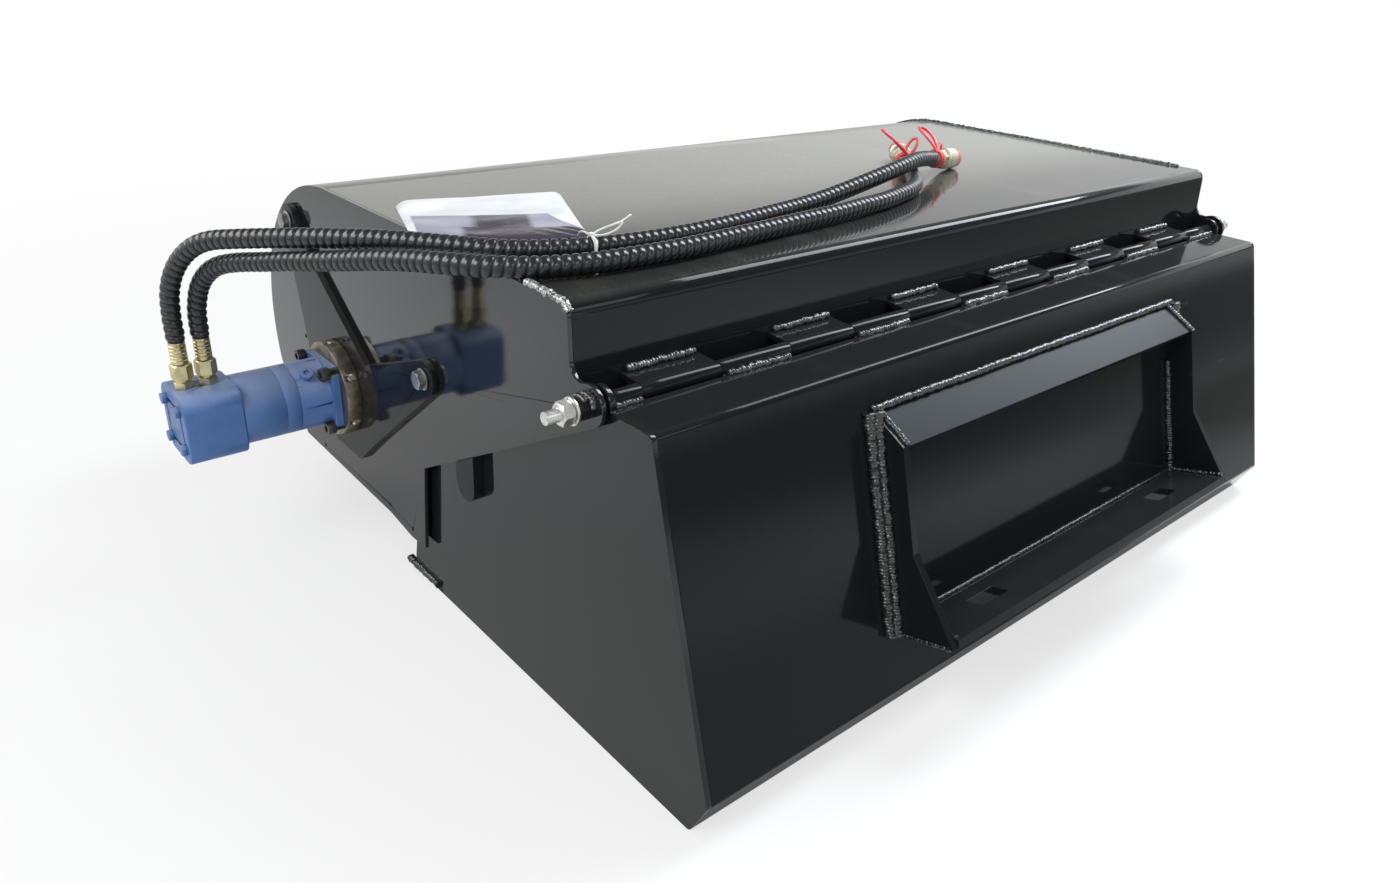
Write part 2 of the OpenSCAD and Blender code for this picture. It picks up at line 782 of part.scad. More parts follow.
module motor_ring() {
    color([0.38, 0.34, 0.27]) difference() {
        x_rod(ring_x, ring_w, ring_d, brush_c);
        x_rod(ring_x - over, ring_w + 2 * over, shaft_hole_d, brush_c);
        ring_screw_places(ring_screw_d);
        along_x(ring_x - over, ring_w + 2 * over)
            square_places(flange_screw_r) circle(d = flange_screw_d);
    }
}

module ring_screw_places(d) {
    length = (ring_d - shaft_hole_d) / 4;
    for (a = [0 : 60 : 300])
        translate([ring_x + ring_w / 2, brush_c.x, brush_c.y]) rotate([a, 0, 0])
            translate([0, 0, ring_d / 2 - length + ring_screw_proud])
                cylinder(d = d, h = length);
}

module motor_ring_screws() {
    color([0.6, 0.58, 0.52]) ring_screw_places(ring_screw_d);
}

// Motor

module square_places(r) {
    for (a = [45 : 90 : 315])
        translate(brush_c + r * [cos(a), sin(a)]) children();
}

module shaft_hole(x, length) {
    x_rod(x - over, length + 2 * over, shaft_d + 2 * run_gap, brush_c);
}

module motor_flange_housing() {
    color([0.2, 0.38, 0.68]) difference() {
        union() {
            along_x(flange_x, flange_t)
                translate(brush_c) rounded_square(flange_w, flange_w, flange_r);
            along_x(bearing_x, bearing_len) translate(brush_c) circle(d = motor_d);
        }
        shaft_hole(flange_x, flange_t + bearing_len);
        along_x(flange_x - over, flange_t + 2 * over)
            square_places(flange_screw_r) circle(d = flange_screw_d);
        along_x(bearing_x, bearing_len + over)
            square_places(flange_screw_r) circle(d = 2 * flange_screw_d);
    }
}

module motor_flange_screws() {
    color([0.05, 0.05, 0.05]) {
        along_x(ring_x, ring_w + flange_t)
            square_places(flange_screw_r) circle(d = flange_screw_d);
        along_x(bearing_x, flange_screw_d)
            square_places(flange_screw_r)
                difference() {
                    circle(d = 1.5 * flange_screw_d);
                    circle(d = 0.85 * flange_screw_d, $fn = 6);
                }
    }
}

module motor_wear_plate() {
    color([0.22, 0.4, 0.7]) difference() {
        along_x(wear_x, wear_len) translate(brush_c) circle(d = motor_d);
        shaft_hole(wear_x, wear_len);
    }
}

// Lobed star of the gear set, grown or shrunk by d
module star_2d(d) {
    lobes = 6;
    core = motor_d / 5;
    circle(core + d);
    for (i = [0 : lobes - 1])
        rotate(i * 360 / lobes) translate([core, 0]) circle(core / 3 + d);
}

module motor_gear_ring() {
    color([0.22, 0.4, 0.7]) along_x(gear_x, gear_len)
        difference() {
            translate(brush_c) circle(d = motor_d);
            translate(brush_c) circle(motor_d / 3);
        }
}

module motor_rotor() {
    color([0.55, 0.56, 0.58]) along_x(gear_x + run_gap, gear_len - 2 * run_gap)
        translate(brush_c) difference() {
            star_2d(0);
            circle(d = shaft_d);
        }
}

module motor_port_housing() {
    depth = motor_d / 2;
    color([0.2, 0.38, 0.68]) difference() {
        along_x(port_x, port_len)
            translate(brush_c - [0, (depth - port_top) / 2])
                rounded_square(port_w, depth + port_top, port_r);
        for (x = port_xs)
            translate([x, brush_c.x, port_z - swivel_h])
                cylinder(d = hose_bore_d, h = swivel_h + over);
        along_x(port_x - over, port_len + 2 * over)
            square_places(end_screw_r) circle(d = end_screw_d);
    }
}

module motor_end_screws() {
    color([0.18, 0.36, 0.66]) {
        along_x(port_x, port_len) square_places(end_screw_r) circle(d = end_screw_d);
        along_x(motor_end_x, end_screw_d * 0.7)
            square_places(end_screw_r) circle(d = 1.7 * end_screw_d);
    }
}

module motor_drain_plug() {
    seat = motor_d / 2 - drain_h / 2;
    color([0.2, 0.38, 0.68])
        translate([wear_x - drain_d, brush_c.x, brush_c.y]) rotate([-35, 0, 0])
            difference() {
                translate([0, 0, seat]) cylinder(d = drain_d, h = drain_h + drain_h / 2);
                rotate([0, 90, 0]) cylinder(d = motor_d, h = 2 * drain_d, center = true);
                translate([0, 0, seat + drain_h]) cylinder(d = drain_d / 2, h = drain_h, $fn = 6);
            }
}

// Fittings and hoses

module at_ports(z) {
    for (x = port_xs)
        translate([x, brush_c.x, z]) children();
}

module bored_hex(across, h, bore) {
    difference() {
        cylinder(d = across / cos(30), h = h, $fn = 6);
        translate([0, 0, -over]) cylinder(d = bore, h = h + 2 * over);
    }
}

module port_adapters() {
    color([0.8, 0.8, 0.76]) at_ports(port_z) bored_hex(adapter_af, adapter_h, hose_bore_d);
}

module swivel_nuts() {
    color([0.75, 0.68, 0.3])
        at_ports(port_z + adapter_h) bored_hex(swivel_af, swivel_h, hose_bore_d);
}

module ferrule() {
    difference() {
        cylinder(d = ferrule_d, h = ferrule_h);
        translate([0, 0, -over]) cylinder(d = hose_bore_d, h = ferrule_h + 2 * over);
    }
}

module motor_side_ferrules() {
    color([0.7, 0.64, 0.36]) at_ports(ferrule_z) ferrule();
}

// A smooth curve through the points p, at the place t counted in points
function spline(p, t) =
    let (n = len(p), i = min(floor(t), n - 2), u = t - i,
        b = p[i], c = p[i + 1],
        a = i > 0 ? p[i - 1] : 2 * b - c,
        d = i < n - 2 ? p[i + 2] : 2 * c - b)
    b + u * (c - a) / 2 + u * u * (a - 2.5 * b + 2 * c - d / 2)
    + u * u * u * (1.5 * b - a / 2 - 1.5 * c + d / 2);
// The curve cut in short steps
function fine_path(p) = let (steps = 6) [for (i = [0 : (len(p) - 1) * steps]) spline(p, i / steps)];
// The length run so far at each point of a path
function run_lengths(q) =
    [for (i = 0, s = 0; i < len(q); i = i + 1, s = s + norm(q[min(i, len(q) - 1)] - q[i - 1])) s];
function path_at(q, run, s) =
    [for (k = [0 : 2]) lookup(s, [for (i = [0 : len(q) - 1]) [run[i], q[i][k]]])];
// One ring of corners around the path at the length s
function ring_at(q, run, s, r, sides, total) =
    let (step = hose_d / 4, c = path_at(q, run, s),
        along = unit(path_at(q, run, min(s + step, total)) - path_at(q, run, max(s - step, 0))),
        side = unit(cross(along, [0.3, -0.55, 0.78])), up = cross(side, along))
    [for (j = [0 : sides - 1]) c + r * (cos(j * 360 / sides) * side + sin(j * 360 / sides) * up)];
// Triangles between ring a and ring b, as first corner numbers
function band(a, b, sides) =
    [for (j = [0 : sides - 1]) let (k = (j + 1) % sides)
        each [[a + j, b + j, b + k], [a + j, b + k, a + k]]];

module ribbed_hose(route) {
    sides = 8;
    q = fine_path(route);
    run = run_lengths(q);
    total = run[len(run) - 1];
    pitch = (total - 2 * hose_d) / rib_count;
    valley = hose_d / 2 - rib_depth;
    marks = concat([[0, hose_d / 2]],
        [for (i = [0 : rib_count - 1]) each [[hose_d + i * pitch, valley],
            [hose_d + (i + 0.5) * pitch, hose_d / 2]]],
        [[total - hose_d, valley], [total, hose_d / 2]]);
    bores = [for (i = [0 : 2 : len(marks) - 1]) marks[i].x];
    inner = concat(bores, bores[len(bores) - 1] < total ? [total] : []);
    outer_rings = [for (m = marks) each ring_at(q, run, m.x, m.y, sides, total)];
    inner_rings = [for (s = inner) each ring_at(q, run, s, hose_bore_d / 2, sides, total)];
    n = len(marks) * sides;
    last = n - sides;
    inner_last = n + (len(inner) - 1) * sides;
    polyhedron(concat(outer_rings, inner_rings), concat(
        [for (i = [0 : len(marks) - 2]) each band(i * sides, (i + 1) * sides, sides)],
        [for (i = [0 : len(inner) - 2])
            each band(n + (i + 1) * sides, n + i * sides, sides)],
        band(n, 0, sides), band(last, inner_last, sides)));
}

module hose_supply() {
    color([0.05, 0.05, 0.06]) ribbed_hose(hose_supply_route);
}

module hose_return() {
    color([0.05, 0.05, 0.06]) ribbed_hose(hose_return_route);
}

// Stands its children on a hose's far end, with z going on along the hose
module at_far_end(route) {
    n = len(route);
    v = unit(route[n - 1] - route[n - 2]);
    translate(route[n - 1]) rotate([0, acos(v.z), atan2(v.y, v.x)]) children();
}

module coupler_side_ferrules() {
    color([0.7, 0.64, 0.36]) {
        at_far_end(hose_supply_route) ferrule();
        at_far_end(hose_return_route) ferrule();
    }
}

module coupler_body() {
    neck = coupler_len / 4;
    cylinder(d = swivel_af / cos(30), h = neck, $fn = 6);
    translate([0, 0, neck]) cylinder(d = coupler_d, h = coupler_len - neck);
}

module coupler_socket() {
    color([0.72, 0.69, 0.6])
        at_far_end(hose_supply_route) translate([0, 0, ferrule_h]) coupler_body();
}

module coupler_plug() {
    color([0.72, 0.69, 0.6])
        at_far_end(hose_return_route) translate([0, 0, ferrule_h]) coupler_body();
}

module coupler_dust_caps() {
    color([0.75, 0.12, 0.14]) for (route = [hose_supply_route, hose_return_route])
        at_far_end(route)
            translate([0, 0, ferrule_h + coupler_len]) cylinder(d = cap_d, h = cap_len);
}

module coupler_cap_cords() {
    color([0.8, 0.15, 0.18]) for (route = [hose_supply_route, hose_return_route])
        at_far_end(route) translate([0, 0, ferrule_h / 2]) {
            rotate_extrude() translate([ferrule_d / 2 + lay_gap + loop_d / 2, 0]) circle(d = loop_d);
            translate([-ferrule_d / 2 - loop_d - loop_r, 0, 0]) rotate([90, 0, 0])
                rotate_extrude() translate([loop_r, 0]) circle(d = loop_d);
        }
}

// Pouch

module manual_pouch() {
    points = [for (s = pouch_shares)
        [s.x * bucket_w / 2, hinge.x - s.y * hood_len]];
    tilt = atan2(hood_rear_h - front_top.y, rear_top.x - front_top.x);
    color([0.9, 0.9, 0.88])
        translate([0, front_top.x, front_top.y + lay_gap]) rotate([tilt, 0, 0])
            translate([0, -front_top.x, 0]) linear_extrude(pouch_t) polygon(points);
}

module pouch_tie() {
    q = fine_path(hose_supply_route);
    run = run_lengths(q);
    total = run[len(run) - 1];
    s = pouch_tie_share * total;
    v = unit(path_at(q, run, s + hose_d) - path_at(q, run, s - hose_d));
    color([0.92, 0.92, 0.92])
        translate(path_at(q, run, s)) rotate([0, acos(v.z), atan2(v.y, v.x)]) {
            difference() {
                cylinder(r = hose_d / 2 + lay_gap + tie_t, h = tie_w, center = true);
                cylinder(r = hose_d / 2 + lay_gap, h = tie_w + 2 * over, center = true);
            }
            translate([-(hose_d + tie_t + tie_w) / 2 - lay_gap, 0, 0]) cube(tie_w, center = true);
        }
}

// Idler

module idler_backing_plate() {
    color([0.1, 0.1, 0.1]) mirror([1, 0, 0]) along_x(hood_out_x, idler_plate_t)
        difference() {
            translate(brush_c) rounded_square(idler_plate_w, idler_plate_w, flange_r);
            translate(brush_c) circle(d = shaft_hole_d);
            idler_bolt_places() circle(d = idler_bolt_d);
        }
}

module idler_bolt_places() {
    for (c = idler_bolt_centres)
        translate(c) children();
}

module idler_bearing_housing() {
    x = hood_out_x + idler_plate_t;
    color([0.12, 0.2, 0.34]) mirror([1, 0, 0]) difference() {
        union() {
            along_x(x, idler_flange_t)
                translate(brush_c) rounded_square(idler_w, idler_w, flange_r);
            x_rod(x + idler_flange_t, idler_boss_len, idler_boss_d, brush_c);
        }
        shaft_hole(x, idler_flange_t + idler_boss_len);
        along_x(x - over, idler_flange_t + 2 * over)
            idler_bolt_places() circle(d = idler_bolt_d);
    }
}

module idler_bearing_bolts() {
    x = hood_out_x + idler_plate_t + idler_flange_t;
    end_x = hood_in_x - nut_h - thread_tail;
    color([0.7, 0.7, 0.68]) mirror([1, 0, 0])
        for (c = idler_bolt_centres) {
            x_rod(end_x, x - end_x, idler_bolt_d, c);
            x_hex(x, bolt_head_h, 1.5 * idler_bolt_d, c);
        }
}

module idler_bearing_nuts() {
    color([0.7, 0.7, 0.68]) mirror([1, 0, 0])
        for (c = idler_bolt_centres) inner_nut(idler_bolt_d, c);
}

// Brush

module brush_core_tube() {
    color([0.2, 0.2, 0.2]) difference() {
        x_rod(-core_half, 2 * core_half, core_d, brush_c);
        x_rod(-core_half - over, 2 * (core_half + over), core_d - 2 * core_wall, brush_c);
    }
}

module brush_drive_bars() {
    color([0.25, 0.25, 0.25])
        translate([-core_half, brush_c.x, brush_c.y])
            for (i = [0 : bar_count - 1])
                rotate([i * 360 / bar_count, 0, 0]) difference() {
                    translate([0, -bar_w / 2, 0])
                        cube([2 * core_half, bar_w, core_d / 2 + bar_w]);
                    translate([-over, 0, 0]) rotate([0, 90, 0])
                        cylinder(d = core_d, h = 2 * (core_half + over));
                }
}

module end_disc() {
    difference() {
        x_rod(core_half, disc_t, 2 * (wafer_out_r + disc_proud), brush_c);
        x_rod(core_half - over, disc_t + 2 * over, shaft_d, brush_c);
        hub_bolt_places() x_rod(core_half - over, disc_t + 2 * over, hub_bolt_d, [0, 0]);
    }
}

module hub_bolt_places() {
    for (a = [45 : 90 : 315])
        translate([0, brush_c.x, brush_c.y]) rotate([a, 0, 0])
            translate([0, (shaft_d + hub_d) / 4, 0]) children();
}

module brush_end_disc_left() {
    color([0.22, 0.22, 0.22]) end_disc();
}

module brush_end_disc_right() {
    color([0.22, 0.22, 0.22]) mirror([1, 0, 0]) end_disc();
}

module at_wafers() {
    first = -(wafer_count - 1) * wafer_pitch / 2;
    for (i = [0 : wafer_count - 1])
        translate([first + i * wafer_pitch, 0, 0]) children();
}

module wafer(width, r_in, r_out) {
    difference() {
        x_rod(-width / 2, width, 2 * r_out, brush_c);
        x_rod(-width / 2 - over, width + 2 * over, 2 * r_in, brush_c);
    }
}

module brush_wafer_rings() {
    color([0.45, 0.45, 0.44])
        at_wafers() wafer(wafer_pitch - wafer_gap, wafer_in_r, wafer_out_r);
}

module brush_bristle_packs() {
    color([0.06, 0.06, 0.07])
        at_wafers() wafer(bristle_w, wafer_out_r + run_gap, brush_d / 2);
}

module hub() {
    difference() {
        x_rod(disc_x, hub_len, hub_d, brush_c);
        x_rod(disc_x - over, hub_len + 2 * over, shaft_d, brush_c);
        hub_bolt_places() x_rod(disc_x - over, hub_len + 2 * over, hub_bolt_d, [0, 0]);
    }
}

module drive_hub() {
    color([0.3, 0.3, 0.31]) hub();
}

module idler_hub() {
    color([0.3, 0.3, 0.31]) mirror([1, 0, 0]) hub();
}

module hub_bolts() {
    color([0.7, 0.7, 0.68]) both_sides() hub_bolt_places() {
        x_rod(core_half, disc_t + hub_len, hub_bolt_d, [0, 0]);
        x_hex(hub_end_x, hub_bolt_d * 0.6, 1.6 * hub_bolt_d, [0, 0]);
    }
}

module motor_shaft() {
    color([0.65, 0.66, 0.67])
        x_rod(core_half, gear_x + gear_len - run_gap - core_half, shaft_d, brush_c);
}

module idler_shaft() {
    end = hood_out_x + idler_plate_t + idler_flange_t + idler_boss_len;
    color([0.65, 0.66, 0.67])
        mirror([1, 0, 0]) x_rod(core_half, end - core_half, shaft_d, brush_c);
}

bucket_shell();
bucket_side_left();
bucket_side_right();
cutting_edge();
quick_attach_hook_plate();
quick_attach_ear_left();
quick_attach_ear_right();
quick_attach_ledge();
bucket_hinge_knuckles();
hood_stop_lugs();
hinge_rod();
hinge_rod_nuts();
hinge_rod_washers();
hinge_rod_collars();
hood_skin();
hood_side_left();
hood_side_right();
hood_hinge_knuckles();
motor_bracket();
motor_ring();
motor_ring_screws();
bracket_bolts();
bracket_nuts();
motor_flange_housing();
motor_wear_plate();
motor_gear_ring();
motor_port_housing();
motor_flange_screws();
motor_end_screws();
motor_drain_plug();
port_adapters();
swivel_nuts();
motor_side_ferrules();
hose_supply();
hose_return();
coupler_side_ferrules();
coupler_socket();
coupler_plug();
coupler_dust_caps();
coupler_cap_cords();
manual_pouch();
pouch_tie();
idler_backing_plate();
idler_bearing_housing();
idler_bearing_bolts();
idler_bearing_nuts();
brush_core_tube();
brush_drive_bars();
brush_end_disc_left();
brush_end_disc_right();
brush_wafer_rings();
brush_bristle_packs();
drive_hub();
idler_hub();
hub_bolts();
motor_shaft();
motor_rotor();
idler_shaft();
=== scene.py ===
"""Sweeper broom bucket: finishes the construction model and sets it in a plain studio."""

import json
import math
import random

import bpy
from mathutils import Matrix, Vector


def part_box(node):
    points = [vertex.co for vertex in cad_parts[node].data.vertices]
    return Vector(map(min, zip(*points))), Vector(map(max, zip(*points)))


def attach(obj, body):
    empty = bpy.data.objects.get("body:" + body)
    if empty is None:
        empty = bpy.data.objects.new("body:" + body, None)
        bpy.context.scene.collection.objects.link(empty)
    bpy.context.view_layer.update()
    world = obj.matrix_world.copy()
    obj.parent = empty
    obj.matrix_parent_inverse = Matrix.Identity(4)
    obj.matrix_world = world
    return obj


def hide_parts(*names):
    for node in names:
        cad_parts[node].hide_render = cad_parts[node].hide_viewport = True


bl_info = {
    "name": "Sweeper Broom Bucket",
    "version": (1, 0, 0),
    "blender": (4, 5, 0),
    "location": "View3D > Sidebar > Sweeper",
    "description": "Finishes a hydraulic sweeper broom bucket and sets it in a studio",
    "category": "Object",
}

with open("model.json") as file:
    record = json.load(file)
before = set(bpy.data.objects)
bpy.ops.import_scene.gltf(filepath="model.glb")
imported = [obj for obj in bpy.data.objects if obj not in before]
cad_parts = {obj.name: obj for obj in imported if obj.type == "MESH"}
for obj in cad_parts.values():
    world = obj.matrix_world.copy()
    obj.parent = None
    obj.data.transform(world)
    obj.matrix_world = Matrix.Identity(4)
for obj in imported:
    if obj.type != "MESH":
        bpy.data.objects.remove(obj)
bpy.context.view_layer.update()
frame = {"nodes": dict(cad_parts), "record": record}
NODES = frame["nodes"]

# Places that the construction model fixes, in metres
BRUSH = Vector((0, -0.515, 0.275))
HINGE = Vector((0, 0.169, 0.497))
BEVEL = Vector((0, 0.393, 0.057))
UP_BACK = Vector((0, -0.285733, 0.958305))
OUT_BACK = Vector((0, 0.958305, 0.285733))
HOOD_TOP = [(-0.532, 0.593), (0.1265, 0.604)]
FRONT_CENTRE = (-0.532, 0.293)
FRONT_RADIUS = 0.3

# Where the hoses run, in millimetres as in the construction model, from the motor outward
ROUTES = {"supply": [
    (1011, -515, 402), (1011, -515, 421), (1011, -515, 440), (1009, -511, 474),
    (1003, -500, 505), (993, -482, 532), (980, -458, 553), (965, -431, 566),
    (945, -392, 575), (916, -339, 585), (888, -287, 594), (859, -234, 602),
    (830, -181, 609), (801, -129, 614), (773, -84, 617), (737, -46, 617),
    (692, -19, 617.5), (640, -2, 617.5), (584, 6, 617.5), (527, 8, 617),
    (470, 6, 617), (413, 0, 617), (356, -8, 617), (299, -17, 617), (242, -26, 617.5),
    (185, -35, 619.5), (128, -42, 624.5), (72, -47, 631.5), (15, -54, 638), (-42, -65, 643),
    (-96, -82, 644.6), (-140, -97, 640.8), (-164, -105, 637.4), (-188, -113, 634)], "return": [
    (977, -515, 402.2), (977, -515, 422), (976.5, -513, 442), (974.5, -508, 461),
    (972, -500, 479), (968, -489, 495), (963, -475, 508.5), (957.5, -459, 519.5),
    (951, -441.5, 527.5), (944, -421, 534), (935, -394, 541), (922, -357, 549),
    (908, -316, 558.5), (891, -268, 568.5), (873, -212, 581), (855, -156, 594),
    (837, -100, 605), (818, -46, 613), (789, 0, 617), (745, 32, 617.5),
    (690, 50, 617.5), (630, 57, 617.5), (570, 59, 617.5), (510, 57, 617.5),
    (450, 52, 617.5), (390, 46, 617), (330, 40, 617), (270, 35, 617), (210, 29, 617),
    (150, 20, 617), (94, 11, 616.2), (42, -3, 616), (-8, -19, 615.6), (-54, -43, 615.3),
    (-92, -76, 615), (-128, -112, 616.5), (-153, -138, 618.4), (-164, -149.5, 618.5),
    (-175, -161, 618.5)]}
MM_IN_M = 1000

# Outputs and inputs of shader nodes that are taken by number
GENERATED, NORMAL, UV, OBJECT = range(4)
CAMERA_RAY, GLOSSY_RAY, TRANSMISSION_RAY = 0, 3, 6
ATTRIBUTE_VALUE = 2
VECTOR_LENGTH = 1
MIX_INPUTS, MIX_COLOUR = (0, 6, 7), 2


# Shader maths

class Wire:
    """A socket of a material that can be used in plain expressions."""

    def __init__(self, tree, socket):
        self.tree = tree
        self.socket = socket

    def feed(self, slot, value):
        """Links a wire to the slot, or sets a constant there."""
        if isinstance(value, Wire):
            self.tree.links.new(value.socket, slot)
        else:
            slot.default_value = value

    def math(self, operation, *values):
        node = self.tree.nodes.new("ShaderNodeMath")
        node.operation = operation
        for slot, value in zip(node.inputs, values):
            self.feed(slot, value)
        return Wire(self.tree, node.outputs[0])

    def __add__(self, other):
        return self.math("ADD", self, other)

    __radd__ = __add__

    def __sub__(self, other):
        return self.math("SUBTRACT", self, other)

    def __rsub__(self, other):
        return self.math("SUBTRACT", other, self)

    def __mul__(self, other):
        return self.math("MULTIPLY", self, other)

    __rmul__ = __mul__

    def clamp(self):
        return self.math("MAXIMUM", self.math("MINIMUM", self, 1.0), 0.0)

    def between(self, low, high):
        """0 below low, 1 above high and smooth between them."""
        return self.make("ShaderNodeMapRange", {"interpolation_type": "SMOOTHSTEP"},
                         {"Value": self, "From Min": low, "From Max": high})[0]

    def make(self, kind, settings, values):
        """Adds any node and returns its outputs."""
        node = self.tree.nodes.new(kind)
        for name, value in settings.items():
            setattr(node, name, value)
        for name, value in values.items():
            self.feed(node.inputs[name], value)
        return [Wire(self.tree, output) for output in node.outputs]


class Finish:
    """A material under construction, with the patterns that the finishes share."""

    def __init__(self, name, **constants):
        self.material = bpy.data.materials.new(name)
        self.material.use_nodes = True
        self.tree = self.material.node_tree
        self.shader = self.tree.nodes["Principled BSDF"]
        for socket, value in constants.items():
            self.shader.inputs[socket.replace("_", " ")].default_value = value
        self.start = Wire(self.tree, None)
        place = self.start.make("ShaderNodeTexCoord", {}, {})
        self.place = place[OBJECT]
        self.uv = place[UV]
        self.facing = place[NORMAL]

    def make(self, kind, settings=None, **values):
        return self.start.make(kind, settings or {}, {
            key.replace("_", " "): value for key, value in values.items()})

    def noise(self, scale, detail=2.0, rough=0.5, stretch=None):
        place = self.place
        if stretch:
            place = self.make("ShaderNodeMapping", Vector=place, Scale=stretch)[0]
        return self.make("ShaderNodeTexNoise", Vector=place, Scale=scale, Detail=detail,
                         Roughness=rough)[0]

    def mix(self, factor, first, second):
        node = self.tree.nodes.new("ShaderNodeMix")
        node.data_type = "RGBA"
        for index, value in zip(MIX_INPUTS, (factor, first, second)):
            colour = index and not isinstance(value, Wire)
            self.start.feed(node.inputs[index], (*value, 1.0) if colour else value)
        return Wire(self.tree, node.outputs[MIX_COLOUR])

    def along(self, axis, place=None):
        parts = self.make("ShaderNodeSeparateXYZ", Vector=place or self.place)
        return parts["XYZ".index(axis)]

    def bump(self, height, strength, distance):
        return self.make("ShaderNodeBump", Height=height, Strength=strength,
                         Distance=distance)[0]

    def link(self, **wires):
        for socket, wire in wires.items():
            self.tree.links.new(wire.socket, self.shader.inputs[socket.replace("_", " ")])
        return self.material


def black_paint(name, level, gloss, dust_and_sheen_amount, tint=(1.0, 1.0, 1.0)):
    """Glossy powder coat with a faint orange peel, dust that settles on top, heavier toward the
    front where it also paints the top's brighter sheen, and fine scuffs.
    """
    paint = Finish(name, Specular_IOR_Level=level, Specular_Tint=(*tint, 1.0))
    base = list(bpy.context.scene.sweeper_colours.paint)
    cloud = paint.noise(2.6, 4.0, 0.6)
    fine = paint.noise(120.0, 3.0, 0.6)
    up = paint.along("Z", paint.facing).between(0.6, 0.98)
    # Pale film on up-facing faces, heavier toward the front: partly dust, partly a painted sheen
    # for the top's brighter reflection there
    far = (paint.along("Y") * -1.0).between(-0.04, 0.3)
    dust = (0.55 + cloud * 0.6 + fine * 0.3) * up * (0.12 + 0.88 * far) * dust_and_sheen_amount
    smear = paint.noise(1.0, 3.0, 0.55, stretch=(14.0, 5.0, 5.0)).between(0.52, 0.75)
    scuff = paint.noise(1.0, 2.0, 0.5, stretch=(9.0, 40.0, 55.0)).between(0.72, 0.78)
    film = dust + smear * up * dust_and_sheen_amount * 0.12
    tone = paint.mix(film, base, [0.38, 0.375, 0.31])
    tone = paint.mix(scuff * cloud * 0.22, tone, [0.1, 0.1, 0.1])
    peel = paint.noise(420.0, 2.0, 0.5) * 0.35 + paint.noise(26.0, 2.0, 0.5)
    return paint.link(
        Base_Color=tone, Roughness=gloss + film * 0.25 + scuff * 0.08 + cloud * 0.03,
        Normal=paint.bump(peel, 0.035, 0.0015))


def cast_paint(name, base=None):
    """Satin paint over a casting, with its grain, a little grime and a painted highlight on top
    with a dusty mottle.
    """
    paint = Finish(name, Specular_IOR_Level=0.5)
    base = base or list(bpy.context.scene.sweeper_colours.motor)
    cloud = paint.noise(22.0, 4.0, 0.6)
    grain = paint.noise(520.0, 3.0, 0.6)
    grime = paint.noise(60.0, 5.0, 0.7).between(0.56, 0.75)
    tone = paint.mix(cloud, [c * 0.8 for c in base], [min(1.0, c * 1.2 + 0.01) for c in base])
    tone = paint.mix(grime * 0.35, tone, [c * 0.35 for c in base])
    # Painted highlight: up-facing faces are paler, as if lit from above, mottled by the cloud
    # noise
    up = paint.along("Z", paint.facing).between(0.1, 0.95)
    tone = paint.mix(up * (0.12 + cloud * 0.34), tone, [0.4 + c * 0.3 for c in base])
    return paint.link(Base_Color=tone, Roughness=0.34 + cloud * 0.12 + grime * 0.15,
                      Normal=paint.bump(grain + cloud * 0.6, 0.25, 0.0012))


def turned_metal(name, light, dark, rough, axis="X"):
    """Bare or plated metal with fine tool marks round the given axis."""
    metal = Finish(name, Metallic=1.0)
    stretch = [900.0 if each == axis else 30.0 for each in "XYZ"]
    marks = metal.noise(1.0, 3.0, 0.6, stretch=stretch)
    blotch = metal.noise(55.0, 5.0, 0.65)
    tone = metal.mix(blotch.between(0.35, 0.7), dark, light)
    return metal.link(Base_Color=tone, Roughness=rough + blotch * 0.18 + marks * 0.08,
                      Normal=metal.bump(marks, 0.22, 0.0006))


def ribbed_guard(name):
    """Glossy black hose guard that gathers grey dust toward its far end, with painted shade in
    its grooves.
    """
    guard = Finish(name, Specular_IOR_Level=0.4, Coat_Roughness=0.13)
    cloud = guard.noise(70.0, 4.0, 0.6)
    fine = guard.noise(300.0, 2.0, 0.6)
    far = (guard.along("X") * -1.0).between(-0.5, 0.12)
    dust = (cloud * 0.8 + far * 0.3).between(0.45, 1.0) * (0.08 + far * 0.36)
    groove = guard.make("ShaderNodeAttribute", {"attribute_name": "groove"})
    groove = groove[ATTRIBUTE_VALUE].between(0.12, 0.75)
    tone = guard.mix(dust, [0.011, 0.012, 0.014], [0.12, 0.117, 0.112])
    # Painted shade: the grooves go near black
    tone = guard.mix(groove, tone, [0.003, 0.003, 0.004])
    return guard.link(Base_Color=tone, Roughness=0.24 + dust * 0.5 + cloud * 0.1 + groove * 0.3,
                      Coat_Weight=(0.5 - dust * 0.5) * (1.0 - groove),
                      Normal=guard.bump(fine, 0.03, 0.0008))


def plain_plastic(name, light, dark, rough):
    """Moulded or drawn plastic with soft mottling and a fine grain."""
    plastic = Finish(name, Specular_IOR_Level=0.5)
    cloud = plastic.noise(40.0, 4.0, 0.6)
    grain = plastic.noise(560.0, 2.0, 0.5)
    tone = plastic.mix(cloud.between(0.3, 0.7), dark, light)
    return plastic.link(Base_Color=tone, Roughness=rough + cloud * 0.15,
                        Normal=plastic.bump(grain, 0.12, 0.0008))


def weld_metal(name, bare, light):
    """Rough weld bead under gloss paint: lumps, spatter and bare bright flecks."""
    weld = Finish(name, Specular_IOR_Level=0.6, Coat_Weight=0.8, Coat_Roughness=0.05)
    lumps = weld.noise(150.0, 3.0, 0.6)
    flecks = weld.noise(260.0, 3.0, 0.65).between(bare, bare + 0.05)
    tone = weld.mix(flecks * 0.8, [0.012, 0.013, 0.014], [light, light, light * 0.98])
    return weld.link(Base_Color=tone, Roughness=0.16 + lumps * 0.2, Metallic=flecks * 0.5,
                     Normal=weld.bump(lumps, 0.8, 0.0032))


